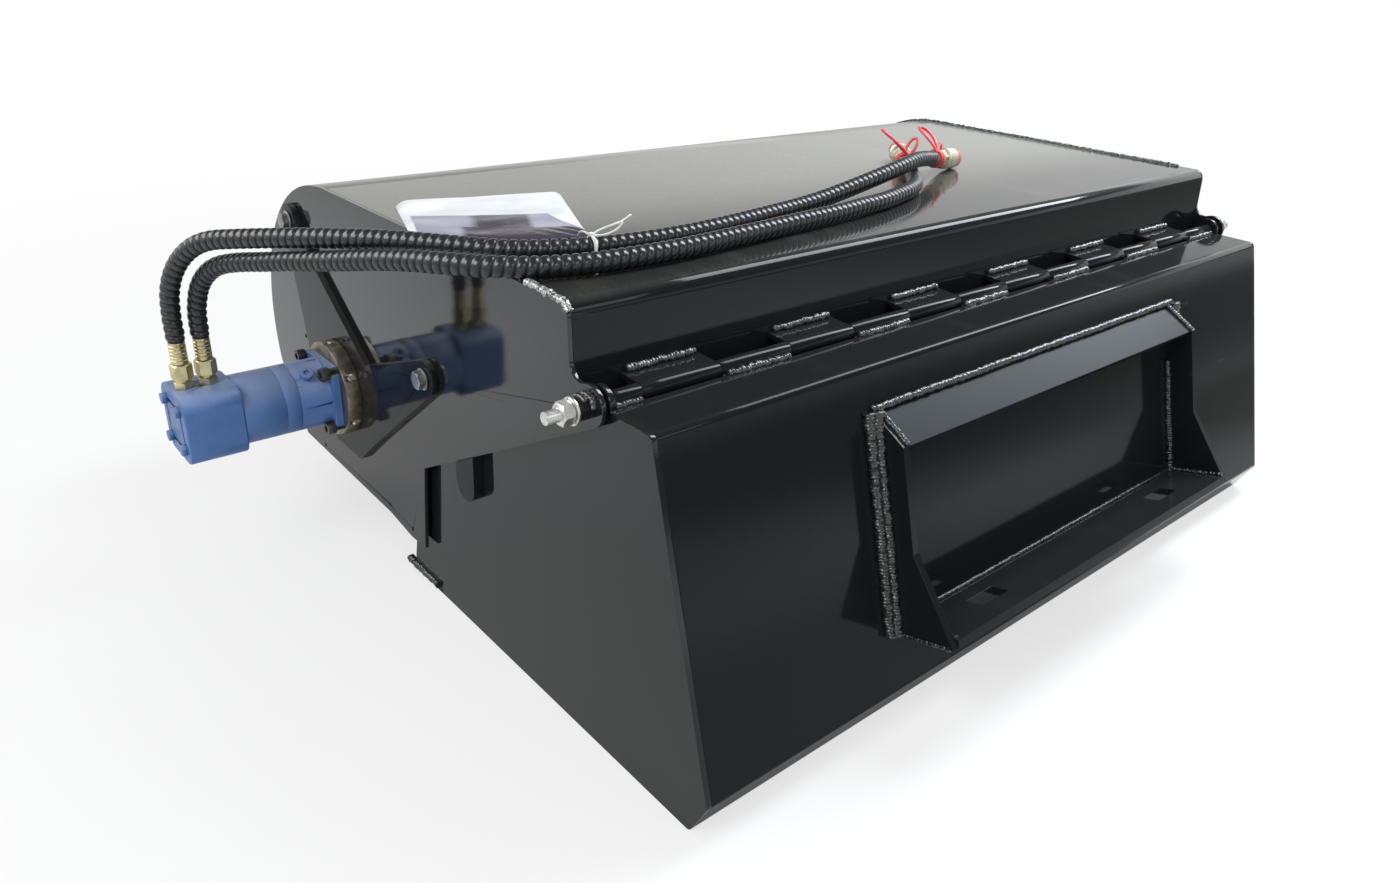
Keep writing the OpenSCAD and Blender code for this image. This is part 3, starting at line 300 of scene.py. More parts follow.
def pouch_film(name):
    """Clear film over a folded white booklet, with dark film only along the near side."""
    film = Finish(name, Specular_IOR_Level=0.22)
    across = film.along("X", film.uv)
    down = film.along("Y", film.uv)
    folds = film.noise(9.0, 3.0, 0.55, stretch=(1.0, 2.4, 1.0))
    fine = film.noise(60.0, 4.0, 0.6)
    corner = (across - 0.84).clamp()
    edge = 0.47 + corner * 2.4 + (folds - 0.5) * 0.05
    bare = (down - edge).between(0.0, 0.015) * across.between(0.045, 0.06)
    patch = across.between(0.36, 0.44) * (1.0 - across.between(0.7, 0.75))
    near = down.between(0.76, 0.79) * across.between(0.3, 0.36)
    dark = (patch + near).clamp()
    # Painted shade: the paper is darker in the hollows of its folds, from the same noise as the
    # bump
    paper = film.mix(folds.between(0.3, 0.75), [0.6, 0.61, 0.62], [0.74, 0.74, 0.735])
    grey = film.mix(dark, [0.3, 0.29, 0.36], [0.045, 0.038, 0.055])
    tone = film.mix(bare, paper, grey)
    return film.link(Base_Color=tone, Roughness=0.34 + fine * 0.2 - bare * 0.2,
                     Normal=film.bump(folds + fine * 0.25, 0.35, 0.005))


def bristle_filament(name):
    """Black drawn filament with grey streaks."""
    hair = Finish(name, Specular_IOR_Level=0.4)
    streak = hair.noise(260.0, 3.0, 0.6)
    tone = hair.mix(streak.between(0.35, 0.7), [0.012, 0.012, 0.013], [0.06, 0.058, 0.055])
    return hair.link(Base_Color=tone, Roughness=0.42 + streak * 0.2,
                     Normal=hair.bump(streak, 0.15, 0.0008))


def studio_floor(name):
    """Pale floor that keeps the shadow and fades to white; its mirror images carry painted shade
    behind the object and toward -X, and a painted lift toward -Y.
    """
    floor = Finish(name, Roughness=0.75, Specular_IOR_Level=0.2)
    cloud = floor.noise(1.2, 3.0, 0.5)
    light = floor.make("ShaderNodeLightPath")
    tone = floor.mix(cloud, [0.8, 0.8, 0.8], [0.84, 0.84, 0.84])
    x, y = floor.along("X"), floor.along("Y")
    # Painted shade for mirror images: a shadow just behind the object and darker surroundings
    # toward -X
    shadow_behind = y.between(0.3, 0.5) * (1.0 - y.between(0.9, 1.7))
    painted_reflection_shade = (x * -1.0).between(0.8, 2.8) * 0.8 + shadow_behind * 0.6
    glossy = light[GLOSSY_RAY]
    tone = floor.mix(glossy * painted_reflection_shade.clamp(), tone, [0.15, 0.145, 0.12])
    # Painted light for mirror images: the floor lighter toward -Y
    tone = floor.mix(glossy * (y * -1.0).between(1.0, 2.5), tone, [0.98, 0.98, 0.98])
    floor.link(Base_Color=tone)
    reach = floor.make("ShaderNodeVectorMath", {"operation": "LENGTH"}, Vector=floor.place)
    fade = reach[VECTOR_LENGTH].between(0.9, 3.6)
    seen = light[CAMERA_RAY] * (0.68 + 0.32 * fade)
    glow = floor.make("ShaderNodeEmission", Color=(1.0, 1.0, 1.0, 1.0), Strength=1.0)[0]
    output = floor.tree.nodes["Material Output"]
    blend = floor.tree.nodes.new("ShaderNodeMixShader")
    for source, slot in zip((seen.socket, floor.shader.outputs[0], glow.socket), blend.inputs):
        floor.tree.links.new(source, slot)
    floor.tree.links.new(blend.outputs[0], output.inputs["Surface"])
    return floor.material


# Each finish's maker and its values: reflection, roughness, dust with painted sheen and tint of
# black paint, light and dark colour and roughness of metal and plastic
FINISHES = {
    "black_paint": (black_paint, 0.14, 0.07, 0.12),
    "black_top": (black_paint, 0.2, 0.05, 0.4),
    "black_side": (black_paint, 0.66, 0.035, 0.12),
    "black_gloss": (black_paint, 0.045, 0.24, 0.1, (0.8, 0.88, 1.0)),
    "black_panel": (black_paint, 0.46, 0.035, 0.12),
    "black_hidden": (black_paint, 0.3, 0.3, 0.3),
    "motor_blue": (cast_paint,),
    "bearing_paint": (cast_paint, [0.05, 0.09, 0.17]),
    "bare_steel": (turned_metal, [0.42, 0.38, 0.31], [0.2, 0.17, 0.13], 0.3),
    "zinc": (turned_metal, [0.85, 0.85, 0.83], [0.62, 0.61, 0.58], 0.22),
    "dark_steel": (turned_metal, [0.16, 0.16, 0.17], [0.07, 0.07, 0.075], 0.3),
    "bolt_steel": (turned_metal, [0.5, 0.5, 0.52], [0.22, 0.22, 0.23], 0.24),
    "yellow_zinc": (turned_metal, [0.74, 0.66, 0.38], [0.5, 0.46, 0.28], 0.2, "Z"),
    "galvanised_ring": (turned_metal, [0.5, 0.5, 0.5], [0.3, 0.3, 0.3], 0.4),
    "coupler_metal": (turned_metal, [0.82, 0.76, 0.64], [0.55, 0.49, 0.39], 0.3),
    "hose_guard": (ribbed_guard,),
    "red_plastic": (plain_plastic, [0.78, 0.1, 0.11], [0.58, 0.05, 0.06], 0.3),
    "white_nylon": (plain_plastic, [0.82, 0.82, 0.8], [0.7, 0.7, 0.68], 0.35),
    "white_pouch": (pouch_film,),
    "bristle": (bristle_filament,),
    "weld": (weld_metal, 0.66, 0.28),
    "bare_weld": (weld_metal, 0.44, 0.55),
    "floor": (studio_floor,)}
MADE = {}


def finish(name):
    """One of the named finishes, made on first use."""
    if name not in MADE:
        maker, *values = FINISHES[name]
        MADE[name] = maker(name, *values)
    return MADE[name]


# Modelling helpers

def deselect():
    if bpy.context.object and bpy.context.object.mode != "OBJECT":
        bpy.ops.object.mode_set(mode="OBJECT")
    bpy.ops.object.select_all(action="DESELECT")


def pick(piece):
    """Makes the piece the active one and the only one selected."""
    deselect()
    piece.select_set(True)
    bpy.context.view_layer.objects.active = piece


def just_added():
    """The piece that an operator has just added, its place applied to its mesh."""
    bpy.ops.object.transform_apply(location=True, rotation=True, scale=True)
    return bpy.context.object


def turn_outward():
    """Makes the faces of the active piece look outward."""
    bpy.ops.object.mode_set(mode="EDIT")
    bpy.ops.mesh.select_all(action="SELECT")
    bpy.ops.mesh.normals_make_consistent(inside=False)
    bpy.ops.object.mode_set(mode="OBJECT")


def change(piece, kind, **settings):
    """Applies one modifier to the active piece."""
    modifier = piece.modifiers.new(kind, kind)
    for name, value in settings.items():
        setattr(modifier, name, value)
    bpy.ops.object.modifier_apply(modifier=modifier.name)


def placed(name, data):
    """A new object in the scene."""
    thing = bpy.data.objects.new(name, data)
    bpy.context.scene.collection.objects.link(thing)
    return thing


def built(name, vertices, faces):
    """A piece made from its vertices and faces."""
    mesh = bpy.data.meshes.new(name)
    mesh.from_pydata(vertices, [], faces)
    mesh.update()
    return placed(name, mesh)


def settle(piece, name, slot, material=None, place=None, smooth=30.0, body="hood", node=None):
    """Names, places and shades a finished piece, sets it on its body and in its node's stead."""
    piece.name = name
    piece.data.name = name
    if place is not None:
        piece.data.transform(place)
    piece.data.materials.clear()
    piece.data.materials.append(finish(material or slot))
    pick(piece)
    if smooth:
        bpy.ops.object.shade_smooth_by_angle(angle=math.radians(smooth))
    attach(piece, body)
    if node:
        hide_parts(node)
    deselect()
    return piece


def facing(direction, centre):
    """Turns a piece modelled along Z so that it runs along direction from centre."""
    turn = Vector((0, 0, 1)).rotation_difference(Vector(direction)).to_matrix().to_4x4()
    return Matrix.Translation(Vector(centre)) @ turn


def turned(profile, sides):
    """A turned piece along Z, from (radius, height) pairs, its ends closed."""
    deselect()
    radius, height = profile[0]
    bpy.ops.mesh.primitive_circle_add(
        vertices=sides, radius=radius, fill_type="NGON", location=(0, 0, height))
    piece = just_added()
    bpy.ops.object.mode_set(mode="EDIT")
    bpy.ops.mesh.select_all(action="SELECT")
    for next_radius, next_height in profile[1:]:
        bpy.ops.mesh.extrude_region_move(
            TRANSFORM_OT_translate={"value": (0, 0, next_height - height)})
        share = next_radius / radius
        if abs(share - 1) > 1e-6:
            bpy.ops.transform.resize(
                value=(share, share, 1), center_override=(0, 0, next_height))
        radius, height = next_radius, next_height
    turn_outward()
    return piece


def hexagon(across, height, chamfer):
    """A hexagon head or nut along Z with turned chamfers at both ends."""
    corner = across / math.sqrt(3)
    deselect()
    bpy.ops.mesh.primitive_cylinder_add(
        vertices=6, radius=corner, depth=height, location=(0, 0, height / 2))
    piece = just_added()
    drop = height * chamfer
    edge, reach = across * 0.47, corner * 1.001
    cutter = turned([(edge, 0), (reach, drop), (reach, height - drop), (edge, height)], 36)
    pick(piece)
    change(piece, "BOOLEAN", operation="INTERSECT", object=cutter)
    bpy.data.objects.remove(cutter)
    return piece


def smooth_path(points, steps):
    """The same smooth curve through the points as in the construction model."""
    points = [Vector(p) for p in points]
    curve = []
    for i in range(len(points) - 1):
        b, c = points[i], points[i + 1]
        a = points[i - 1] if i else 2 * b - c
        d = points[i + 2] if i < len(points) - 2 else 2 * c - b
        for k in range(steps):
            u = k / steps
            curve.append(b + u * (c - a) / 2 + u * u * (a - 2.5 * b + 2 * c - d / 2)
                         + u ** 3 * (1.5 * b - a / 2 - 1.5 * c + d / 2))
    return curve + [points[-1]]


def swept(name, path, radius_at, sides, step, across=(0.3, -0.55, 0.78)):
    """A closed tube along a path. radius_at takes a distance and a share of a turn."""
    lengths = [0.0]
    for a, b in zip(path, path[1:]):
        lengths.append(lengths[-1] + (b - a).length)
    total = lengths[-1]
    count = max(2, round(total / step))
    vertices, faces, centres = [], [], []
    k = 0
    for i in range(count + 1):
        s = total * i / count
        while k < len(path) - 2 and lengths[k + 1] < s:
            k += 1
        part = (s - lengths[k]) / max(lengths[k + 1] - lengths[k], 1e-9)
        centres.append(path[k].lerp(path[k + 1], min(max(part, 0.0), 1.0)))
    # The direction comes from centres about 4 mm away on both sides
    reach = max(1, round(0.004 / (total / count)))
    for i, centre in enumerate(centres):
        ahead = centres[min(i + reach, count)] - centres[max(i - reach, 0)]
        side = ahead.cross(Vector(across)).normalized()
        up = side.cross(ahead).normalized()
        s = total * i / count
        for j in range(sides):
            turn = j / sides
            r = radius_at(s, turn)
            a = math.tau * turn
            vertices.append(centre + r * (math.cos(a) * side + math.sin(a) * up))
    for i in range(count):
        for j in range(sides):
            k = (j + 1) % sides
            a, b = i * sides, (i + 1) * sides
            faces.append((a + j, a + k, b + k, b + j))
    faces.append(tuple(range(sides - 1, -1, -1)))
    faces.append(tuple(range(count * sides, (count + 1) * sides)))
    piece = built(name, vertices, faces)
    pick(piece)
    turn_outward()
    return piece


def coil(place, radius, steps, turns=1, start=0.0, rise=0.0):
    """Points of a coil round the place's Z axis, and that axis."""
    points = []
    for i in range(turns * steps + 1):
        a = math.tau * i / steps
        z = start + rise * i / steps
        points.append(place @ Vector((radius * math.cos(a), radius * math.sin(a), z)))
    return points, place.to_3x3() @ Vector((0, 0, 1))


def joined(pieces):
    """Joins pieces into the first one."""
    pick(pieces[0])
    for piece in pieces:
        piece.select_set(True)
    bpy.ops.object.join()
    return pieces[0]


def arc(centre, radius, degrees):
    """Points of an arc in the YZ plane, at each of the angles."""
    angles = [math.radians(each) for each in degrees]
    return [(centre[0] + radius * math.cos(a), centre[1] + radius * math.sin(a))
            for a in angles]


def hood_top(y):
    """Height of the hood's flat top at y."""
    (y0, z0), (y1, z1) = HOOD_TOP
    return z0 + (z1 - z0) * (y - y0) / (y1 - y0)


# Sizes and colours that a user would change

class SweeperSizes(bpy.types.PropertyGroup):
    """Sizes of the pieces that are modelled here."""

    hose_diameter: bpy.props.FloatProperty(
        name="Hose guard", description="Diameter over the ribs of a hose guard",
        default=0.027, min=0.02, max=0.03, unit="LENGTH")
    rib_pitch: bpy.props.FloatProperty(
        name="Rib pitch", description="Distance between two turns of the guard's spiral",
        default=0.0125, min=0.008, max=0.02, unit="LENGTH")
    rib_depth: bpy.props.FloatProperty(
        name="Rib depth", description="Depth of the groove between two turns",
        default=0.0023, min=0.001, max=0.003, unit="LENGTH")
    weld_radius: bpy.props.FloatProperty(
        name="Weld bead", description="Radius of the larger weld beads",
        default=0.0055, min=0.002, max=0.008, unit="LENGTH")
    thread_pitch: bpy.props.FloatProperty(
        name="Rod thread", description="Pitch of the hinge rod's thread",
        default=0.002, min=0.001, max=0.003, unit="LENGTH")
    tufts: bpy.props.IntProperty(
        name="Tufts", description="Tufts of bristle on one wafer", default=80, min=24, max=90)
    strands: bpy.props.IntProperty(
        name="Strands", description="Filaments in one tuft", default=16, min=3, max=20)
    rounding: bpy.props.FloatProperty(
        name="Edge rounding", description="Rounding of the plates' edges",
        default=0.0008, min=0.0002, max=0.002, unit="LENGTH")


class SweeperColours(bpy.types.PropertyGroup):
    """Colours of the main finishes."""

    paint: bpy.props.FloatVectorProperty(
        name="Paint", description="Colour of the powder coat", subtype="COLOR",
        default=(0.0085, 0.0095, 0.0105), min=0.0, max=1.0)
    motor: bpy.props.FloatVectorProperty(
        name="Motor", description="Colour of the hydraulic motor", subtype="COLOR",
        default=(0.06, 0.15, 0.375), min=0.0, max=1.0)


class SweeperOperator(bpy.types.Operator):
    """Shared base of the operators below"""

    bl_options = {"REGISTER", "UNDO"}

    def execute(self, context):
        self.build(context.scene.sweeper_sizes)
        deselect()
        return {"FINISHED"}


class SWEEPER_OT_camera(SweeperOperator):
    """Sets the camera at the photograph's viewing angle"""

    bl_idname = "sweeper.camera"
    bl_label = "Camera"

    centre = (1.36771, 1.01712, 0.97849)
    right = (-0.75668524, 0.65148979, 0.05466722)
    up = (-0.25533438, -0.37146591, 0.89264631)
    back = (0.60185696, 0.66149386, 0.44743052)

    def build(self, sizes):
        data = bpy.data.cameras.new("Camera")
        data.lens = 26.33
        data.sensor_width = 36.0
        data.clip_end = 200.0
        camera = placed("Camera", data)
        turn = Matrix((self.right, self.up, self.back)).transposed().to_4x4()
        camera.matrix_world = Matrix.Translation(self.centre) @ turn
        bpy.context.scene.camera = camera


class SWEEPER_OT_hoses(SweeperOperator):
    """Lays the two spiral-guarded hoses"""

    bl_idname = "sweeper.hoses"
    bl_label = "Hoses"

    sides = 26
    steps_per_turn = 14
    # Length at each end over which the ribs run out
    run_out = 0.006

    def build(self, sizes):
        outer = sizes.hose_diameter / 2
        for side, route in ROUTES.items():
            path = smooth_path([Vector(p) / MM_IN_M for p in route], 8)
            total = sum((b - a).length for a, b in zip(path, path[1:]))

            def radius(s, turn):
                u = (s / sizes.rib_pitch - turn) % 1.0
                rib = 1 - abs(2 * u - 1) ** 2.6
                ends = min(1.0, s / self.run_out, (total - s) / self.run_out)
                return outer - sizes.rib_depth * (1 - rib * max(ends, 0.0))

            hose = swept(f"hose_{side}_guard", path, radius, self.sides,
                         sizes.rib_pitch / self.steps_per_turn)
            # How deep each point lies in a groove, for the finish's painted shade there
            rings = len(hose.data.vertices) // self.sides
            groove = hose.data.attributes.new("groove", "FLOAT", "POINT")
            for index, value in enumerate(groove.data):
                ring, corner = divmod(index, self.sides)
                surface = radius(total * ring / (rings - 1), corner / self.sides)
                value.value = (outer - surface) / sizes.rib_depth
            settle(hose, f"hose_{side}_guard", "hose_guard", smooth=50, node=f"hose_{side}")
            HOSES[side] = (hose, path, total)


class SWEEPER_OT_hose_ends(SweeperOperator):
    """Models the swivel nuts, crimped ferrules, quick couplers, dust caps and their cords"""

    bl_idname = "sweeper.hose_ends"
    bl_label = "Hose ends"

    # Heights of the pieces over the motor's port, and lengths along a hose's end
    port_z = 0.33
    nut_z = 0.3441
    ferrule_z = 0.368
    ferrule_length = 0.034
    cap_start = 0.106
    ferrule_radius = 0.0119
    # Turned outlines as (radius, height)
    couplers = {
        "supply": ("socket", [
            (0.0155, 0.0175), (0.0188, 0.0195), (0.019, 0.031), (0.0176, 0.0322),
            (0.0176, 0.0345), (0.019, 0.0357), (0.019, 0.047), (0.0172, 0.0485),
            (0.0172, 0.0525), (0.019, 0.054), (0.019, 0.0695), (0.018, 0.072)]),
        "return": ("plug", [
            (0.0155, 0.0175), (0.0185, 0.019), (0.019, 0.0205), (0.019, 0.034),
            (0.0178, 0.0355), (0.0178, 0.049), (0.0165, 0.05), (0.0165, 0.0555),
            (0.0186, 0.057), (0.019, 0.058), (0.019, 0.066), (0.0172, 0.072)])}
    cap = [(0.0155, 0), (0.017, 0.0012), (0.017, 0.0045), (0.016, 0.0055), (0.016, 0.007),
           (0.017, 0.008), (0.017, 0.0185), (0.0162, 0.0212), (0.0138, 0.022),
           (0.0118, 0.0205)]
    # Loops of the caps' cords, in millimetres
    loops = {
        "supply": [
            [(-192, -108, 646), (-189, -118, 658), (-186, -134, 671), (-188, -150, 679),
             (-198, -158, 681), (-209, -153, 677), (-212, -139, 668), (-208, -124, 656),
             (-202, -114, 647)],
            [(-204, -116, 648), (-216, -122, 656), (-228, -128, 652), (-230, -130, 641),
             (-221, -126, 633), (-209, -120, 630)]],
        "return": [
            [(-176, -160, 632), (-165, -164, 644), (-152, -174, 657), (-142, -187, 668),
             (-141, -197, 673), (-150, -201, 671), (-161, -193, 661), (-171, -181, 648),
             (-180, -169, 634)],
            [(-186, -160, 634), (-196, -158, 648), (-204, -164, 658), (-202, -174, 656),
             (-194, -178, 642), (-190, -176, 630)]]}

    def ferrule(self, place, side, end):
        """Crimped ferrule with five ridges."""
        profile = [(0.0098, 0), (0.0116, 0.001)]
        for i in range(5):
            z = 0.003 + i * 0.0056
            profile += [(self.ferrule_radius, z), (self.ferrule_radius, z + 0.0034),
                        (0.0108, z + 0.0042), (0.0108, z + 0.005)]
        profile += [(self.ferrule_radius, 0.0318), (0.0112, self.ferrule_length)]
        return settle(turned(profile, 36), f"ferrule_{side}_{end}", "yellow_zinc",
                      place=place, node=f"{end}_side_ferrules")

    def cord(self, place, side):
        """Red cord: turns round the hose end, then loops that stand up stiffly."""
        thickness = 0.0025
        points, axis = coil(place, self.ferrule_radius + thickness, 12, 3, 0.008, 0.0056)
        path = smooth_path(points, 3)
        pieces = [swept("wraps", path, lambda s, t: thickness, 10, 0.003, axis)]
        for points in self.loops[side]:
            path = smooth_path([Vector(p) / MM_IN_M for p in points], 5)
            across = (path[len(path) // 2] - path[0]).cross(path[-1] - path[0])
            pieces.append(swept("loop", path, lambda s, t: 0.0026, 10, 0.0025, across))
        return settle(joined(pieces), f"cap_cord_{side}", "red_plastic", smooth=60,
                      node="coupler_cap_cords")

    def at_motor(self, side, port):
        """Swivel nut, port adapter and ferrule over one of the motor's ports."""
        def above(z, degrees):
            turn = Matrix.Rotation(math.radians(degrees), 4, "Z")
            return Matrix.Translation((port.x, port.y, z)) @ turn

        settle(hexagon(0.027, 0.0238, 0.09), f"swivel_nut_{side}", "yellow_zinc",
               place=above(self.nut_z, 12), node="swivel_nuts")
        body = turned([(0.0105, 0.0105), (0.0112, 0.0112), (0.0112, 0.0138)], 32)
        settle(joined([hexagon(0.026, 0.011, 0.12), body]), f"port_adapter_{side}", "zinc",
               "yellow_zinc", above(self.port_z, -9), node="port_adapters")
        return self.ferrule(above(self.ferrule_z, 0), side, "motor")

    def at_far_end(self, side, end, way):
        """Ferrule, quick coupler, dust cap and the cap's cord."""
        place = facing(way, end)
        far = self.ferrule(place, side, "coupler")
        kind, outline = self.couplers[side]
        coupler = joined([hexagon(0.027, 0.018, 0.1), turned(outline, 44)])
        settle(coupler, f"coupler_{kind}_detail", "coupler_metal",
               place=facing(way, end + way * self.ferrule_length), node=f"coupler_{kind}")
        cap = settle(turned(self.cap, 44), f"dust_cap_{side}", "red_plastic",
                     place=facing(way, end + way * self.cap_start), node="coupler_dust_caps")
        return [far, coupler, cap, self.cord(place, side)]

    def build(self, sizes):
        for side, route in ROUTES.items():
            base, end = Vector(route[0]) / MM_IN_M, Vector(route[-1]) / MM_IN_M
            way = (Vector(route[-1]) - Vector(route[-2])).normalized()
            ends = [self.at_motor(side, base), *self.at_far_end(side, end, way)]


class SWEEPER_OT_plates(SweeperOperator):
    """Rounds the edges of the plates and castings and gives each its finish"""

    bl_idname = "sweeper.plates"
    bl_label = "Plates and castings"

    # Rounding in shares of the general one, where it differs
    shares = {"motor_port_housing": 3.2, "motor_flange_housing": 2.4, "motor_wear_plate": 1.2,
              "motor_gear_ring": 1.2, "motor_ring": 1.4, "idler_bearing_housing": 2.4,
              "cutting_edge": 1.2, "hinge_rod": 1.0, "bucket_shell": 1.0}
    finishes = {"hood_skin": "black_top", "quick_attach_hook_plate": "black_gloss",
                "bucket_side_left": "black_panel", "bucket_side_right": "black_panel",
                "hood_side_left": "black_side", "hood_side_right": "black_side",
                "brush_core_tube": "black_hidden", "brush_end_disc_left": "black_hidden",
                "brush_end_disc_right": "black_hidden", "brush_drive_bars": "black_hidden"}

    def build(self, sizes):
        slots = {part["node"]: part["material_slot"]
                 for part in frame["record"]["subparts"]}
        for name, node in NODES.items():
            node.data.materials.clear()
            node.data.materials.append(finish(self.finishes.get(name, slots[name])))
            curved = sum(face.use_smooth for face in node.data.polygons)
            if curved < 0.1 * len(node.data.polygons):
                node.data.shade_flat()
            weld = node.modifiers.new("Merge corners", "WELD")
            weld.merge_threshold = 0.00002
            bevel = node.modifiers.new("Rounded edges", "BEVEL")
            bevel.width = sizes.rounding * self.shares.get(name, 0.75)
            bevel.segments = 2
            bevel.limit_method = "ANGLE"
            bevel.angle_limit = math.radians(32)
            bevel.use_clamp_overlap = False


class SWEEPER_OT_welds(SweeperOperator):
    """Lays the weld beads along the joints"""

    bl_idname = "sweeper.welds"
    bl_label = "Weld beads"

    # Distance between two ripples of a bead
    ripple = 0.0046
    # Beads on the ears: start and end as place across, height up the back and distance out of
    # it, then size, seed and direction across
    ears = (
        ((0.4095, 0.086, 0.0052), (0.4095, 0.398, 0.0052), 1.5, 449, OUT_BACK),
        ((0.4, 0.086, 0.0105), (0.4, 0.398, 0.0105), 1.45, 440, OUT_BACK),
        ((0.3825, 0.086, 0.0028), (0.3825, 0.3, 0.0028), 1.15, 422, OUT_BACK),
        ((0.384, 0.0985, 0.004), (0.384, 0.0985, 0.094), 0.7, 50, UP_BACK),
        ((0.3865, 0.3535, 0.0455), (0.3865, 0.396, 0.003), 0.85, 60, OUT_BACK),
        ((0.397, 0.087, 0.004), (0.397, 0.087, 0.094), 0.6, 64, UP_BACK))

    def bead(self, points, radius, seed, across=(0, 0.2, 1)):
        """One bead of lumpy ripples along straight stretches between the points."""
        rng = random.Random(seed)
        rows, columns = 90, 6
        lumps = [[rng.uniform(-1, 1) for _ in range(columns)] for _ in range(rows)]

        def size(s, turn):
            wave = 1 - 0.2 * (1 - abs(math.sin(math.pi * s / self.ripple)) ** 0.7)
            row, column = s / (self.ripple * 0.8), turn * columns
            i, j = int(row), int(column)
            row, column = row - i, column - j
            near, far = (
                line[j % columns] * (1 - column) + line[(j + 1) % columns] * column
                for line in (lumps[i % rows], lumps[(i + 1) % rows]))
            return radius * wave * (1 + 0.26 * (near * (1 - row) + far * row))

        path = []
        for a, b in zip(points, points[1:]):
            a, b = Vector(a), Vector(b)
            steps = max(1, int((b - a).length / 0.006))
            path += [a.lerp(b, i / steps) for i in range(steps)]
        path.append(Vector(points[-1]))
        return swept("bead", path, size, 12, self.ripple / 4, across)

    def build(self, sizes):
        r = sizes.weld_radius
        along_x = (1, 0, 0)
        tilted = (1, 0.1, 0.1)
        # Edge between the skin and the right-hand side plate
        outline = [(y, hood_top(y)) for y in (0.075, -0.1, -0.3, -0.532)]
        outline += arc(FRONT_CENTRE, FRONT_RADIUS, [90 + i * 6.8 for i in range(1, 16)])
        hood = [self.bead([(-0.757, y, z) for y, z in outline], r * 0.95, 3, tilted)]
        bucket = []
        # Short bare stretch at the left rear corner
        bare = self.bead([(0.7595, 0.1255, 0.594), (0.7595, 0.118, 0.602),
                          (0.7595, 0.04, hood_top(0.04) + 0.0015)], r * 1.02, 5, tilted)
        settle(bare, "weld_bare", "black_paint", "bare_weld", smooth=70)
        # Hinge leaves, on the rear wall and on the lip in turn, then the lip's ends
        first, pitch, gap = 0.694, 0.1215, 0.008
        wall, lip = (0.134, 0.512), (0.1815, 0.4935)
        for i in range(11):
            high, low = first - i * pitch - gap, first - (i + 1) * pitch + gap
            pieces, place = (bucket, lip) if i % 2 else (hood, wall)
            pieces.append(self.bead([(high, *place), (low, *place)], r * 1.1, 10 + i))
        for high, low in ((0.738, 0.7), (-0.648, -0.738)):
            bucket.append(self.bead([(high, *lip), (low, *lip)], r, 30))
        # The rod's collars, over their tops
        top = arc((HINGE.y, HINGE.z), 0.0145, range(10, 171, 20))
        for side in (-1, 1):
            for x, size, seed, part in ((0.766, 1, 35, top), (0.775, 0.8, 38, top[2:7])):
                points = [(side * x, *point) for point in part]
                hood.append(self.bead(points, r * size, seed + side, along_x))

        def on_back(x, up, out, sign=1):
            return Vector((sign * x, 0, 0)) + BEVEL + UP_BACK * up + OUT_BACK * out

        for sign in (-1, 1):
            for low, high, size, seed, across in self.ears:
                ends = [on_back(*low, sign), on_back(*high, sign)]
                bucket.append(self.bead(ends, r * size, seed + sign, across))
        # The ledge, the hook plate and the cutting edge
        for *place, size, seed in ((0.38, 0.0985, 0.001, 0.65, 70), (0.4, 0.4, 0.0022, 1.05, 71)):
            ends = [on_back(*place), on_back(*place, -1)]
            bucket.append(self.bead(ends, r * size, seed, OUT_BACK))
        for side in (-1, 1):
            ends = [(side * 0.7505, y, 0.012) for y in (-0.36, -0.26)]
            bucket.append(self.bead(ends, r * 1.15, 90 + side, along_x))
        for body, pieces in (("hood", hood), ("bucket", bucket)):
            settle(joined(pieces), f"welds_{body}", "black_paint", "weld", smooth=70, body=body)


class SWEEPER_OT_fasteners(SweeperOperator):
    """Models the rod's threads and nuts and the bracket's bolt heads"""

    bl_idname = "sweeper.fasteners"
    bl_label = "Threads, nuts and bolt heads"

    # The rod's thread and nut, as distances from the middle
    thread_start = 0.7885
    thread_length = 0.0343
    nut_start = 0.7892

    def build(self, sizes):
        for sign, side in ((1, "left"), (-1, "right")):
            ends = [Vector((sign * x, HINGE.y, HINGE.z))
                    for x in (self.thread_start, self.thread_start + self.thread_length)]

            def radius(s, turn):
                u = (s / sizes.thread_pitch - turn * sign) % 1.0
                tip = min(1.0, (self.thread_length - s) / 0.002 + 0.35)
                return 0.00745 + 0.0008 * abs(2 * u - 1) * tip

            thread = swept("thread", ends, radius, 18, sizes.thread_pitch / 6, (0, 0, 1))
            settle(thread, f"rod_thread_{side}", "zinc", "bolt_steel", smooth=50)
            settle(hexagon(0.026, 0.0155, 0.14), f"rod_nut_{side}", "zinc",
                   place=facing((sign, 0, 0), (sign * self.nut_start, HINGE.y, HINGE.z)),
                   node="hinge_rod_nuts")
        heads = []
        for y, z in ((-0.154, 0.24), (0.299, 0.119)):
            head = hexagon(0.024, 0.01, 0.16)
            collar = turned([(0.0125, 0), (0.0155, 0.0004), (0.016, 0.0012), (0.016, 0.0026),
                             (0.0152, 0.003)], 36)
            head.data.transform(Matrix.Translation((0, 0, 0.003)))
            piece = joined([head, collar])
            piece.data.transform(facing((1, 0, 0), (0.774, BRUSH.y + y, BRUSH.z + z)))
            heads.append(piece)
        settle(joined(heads), "bracket_bolt_heads", "dark_steel", "bolt_steel",
               node="bracket_bolts")


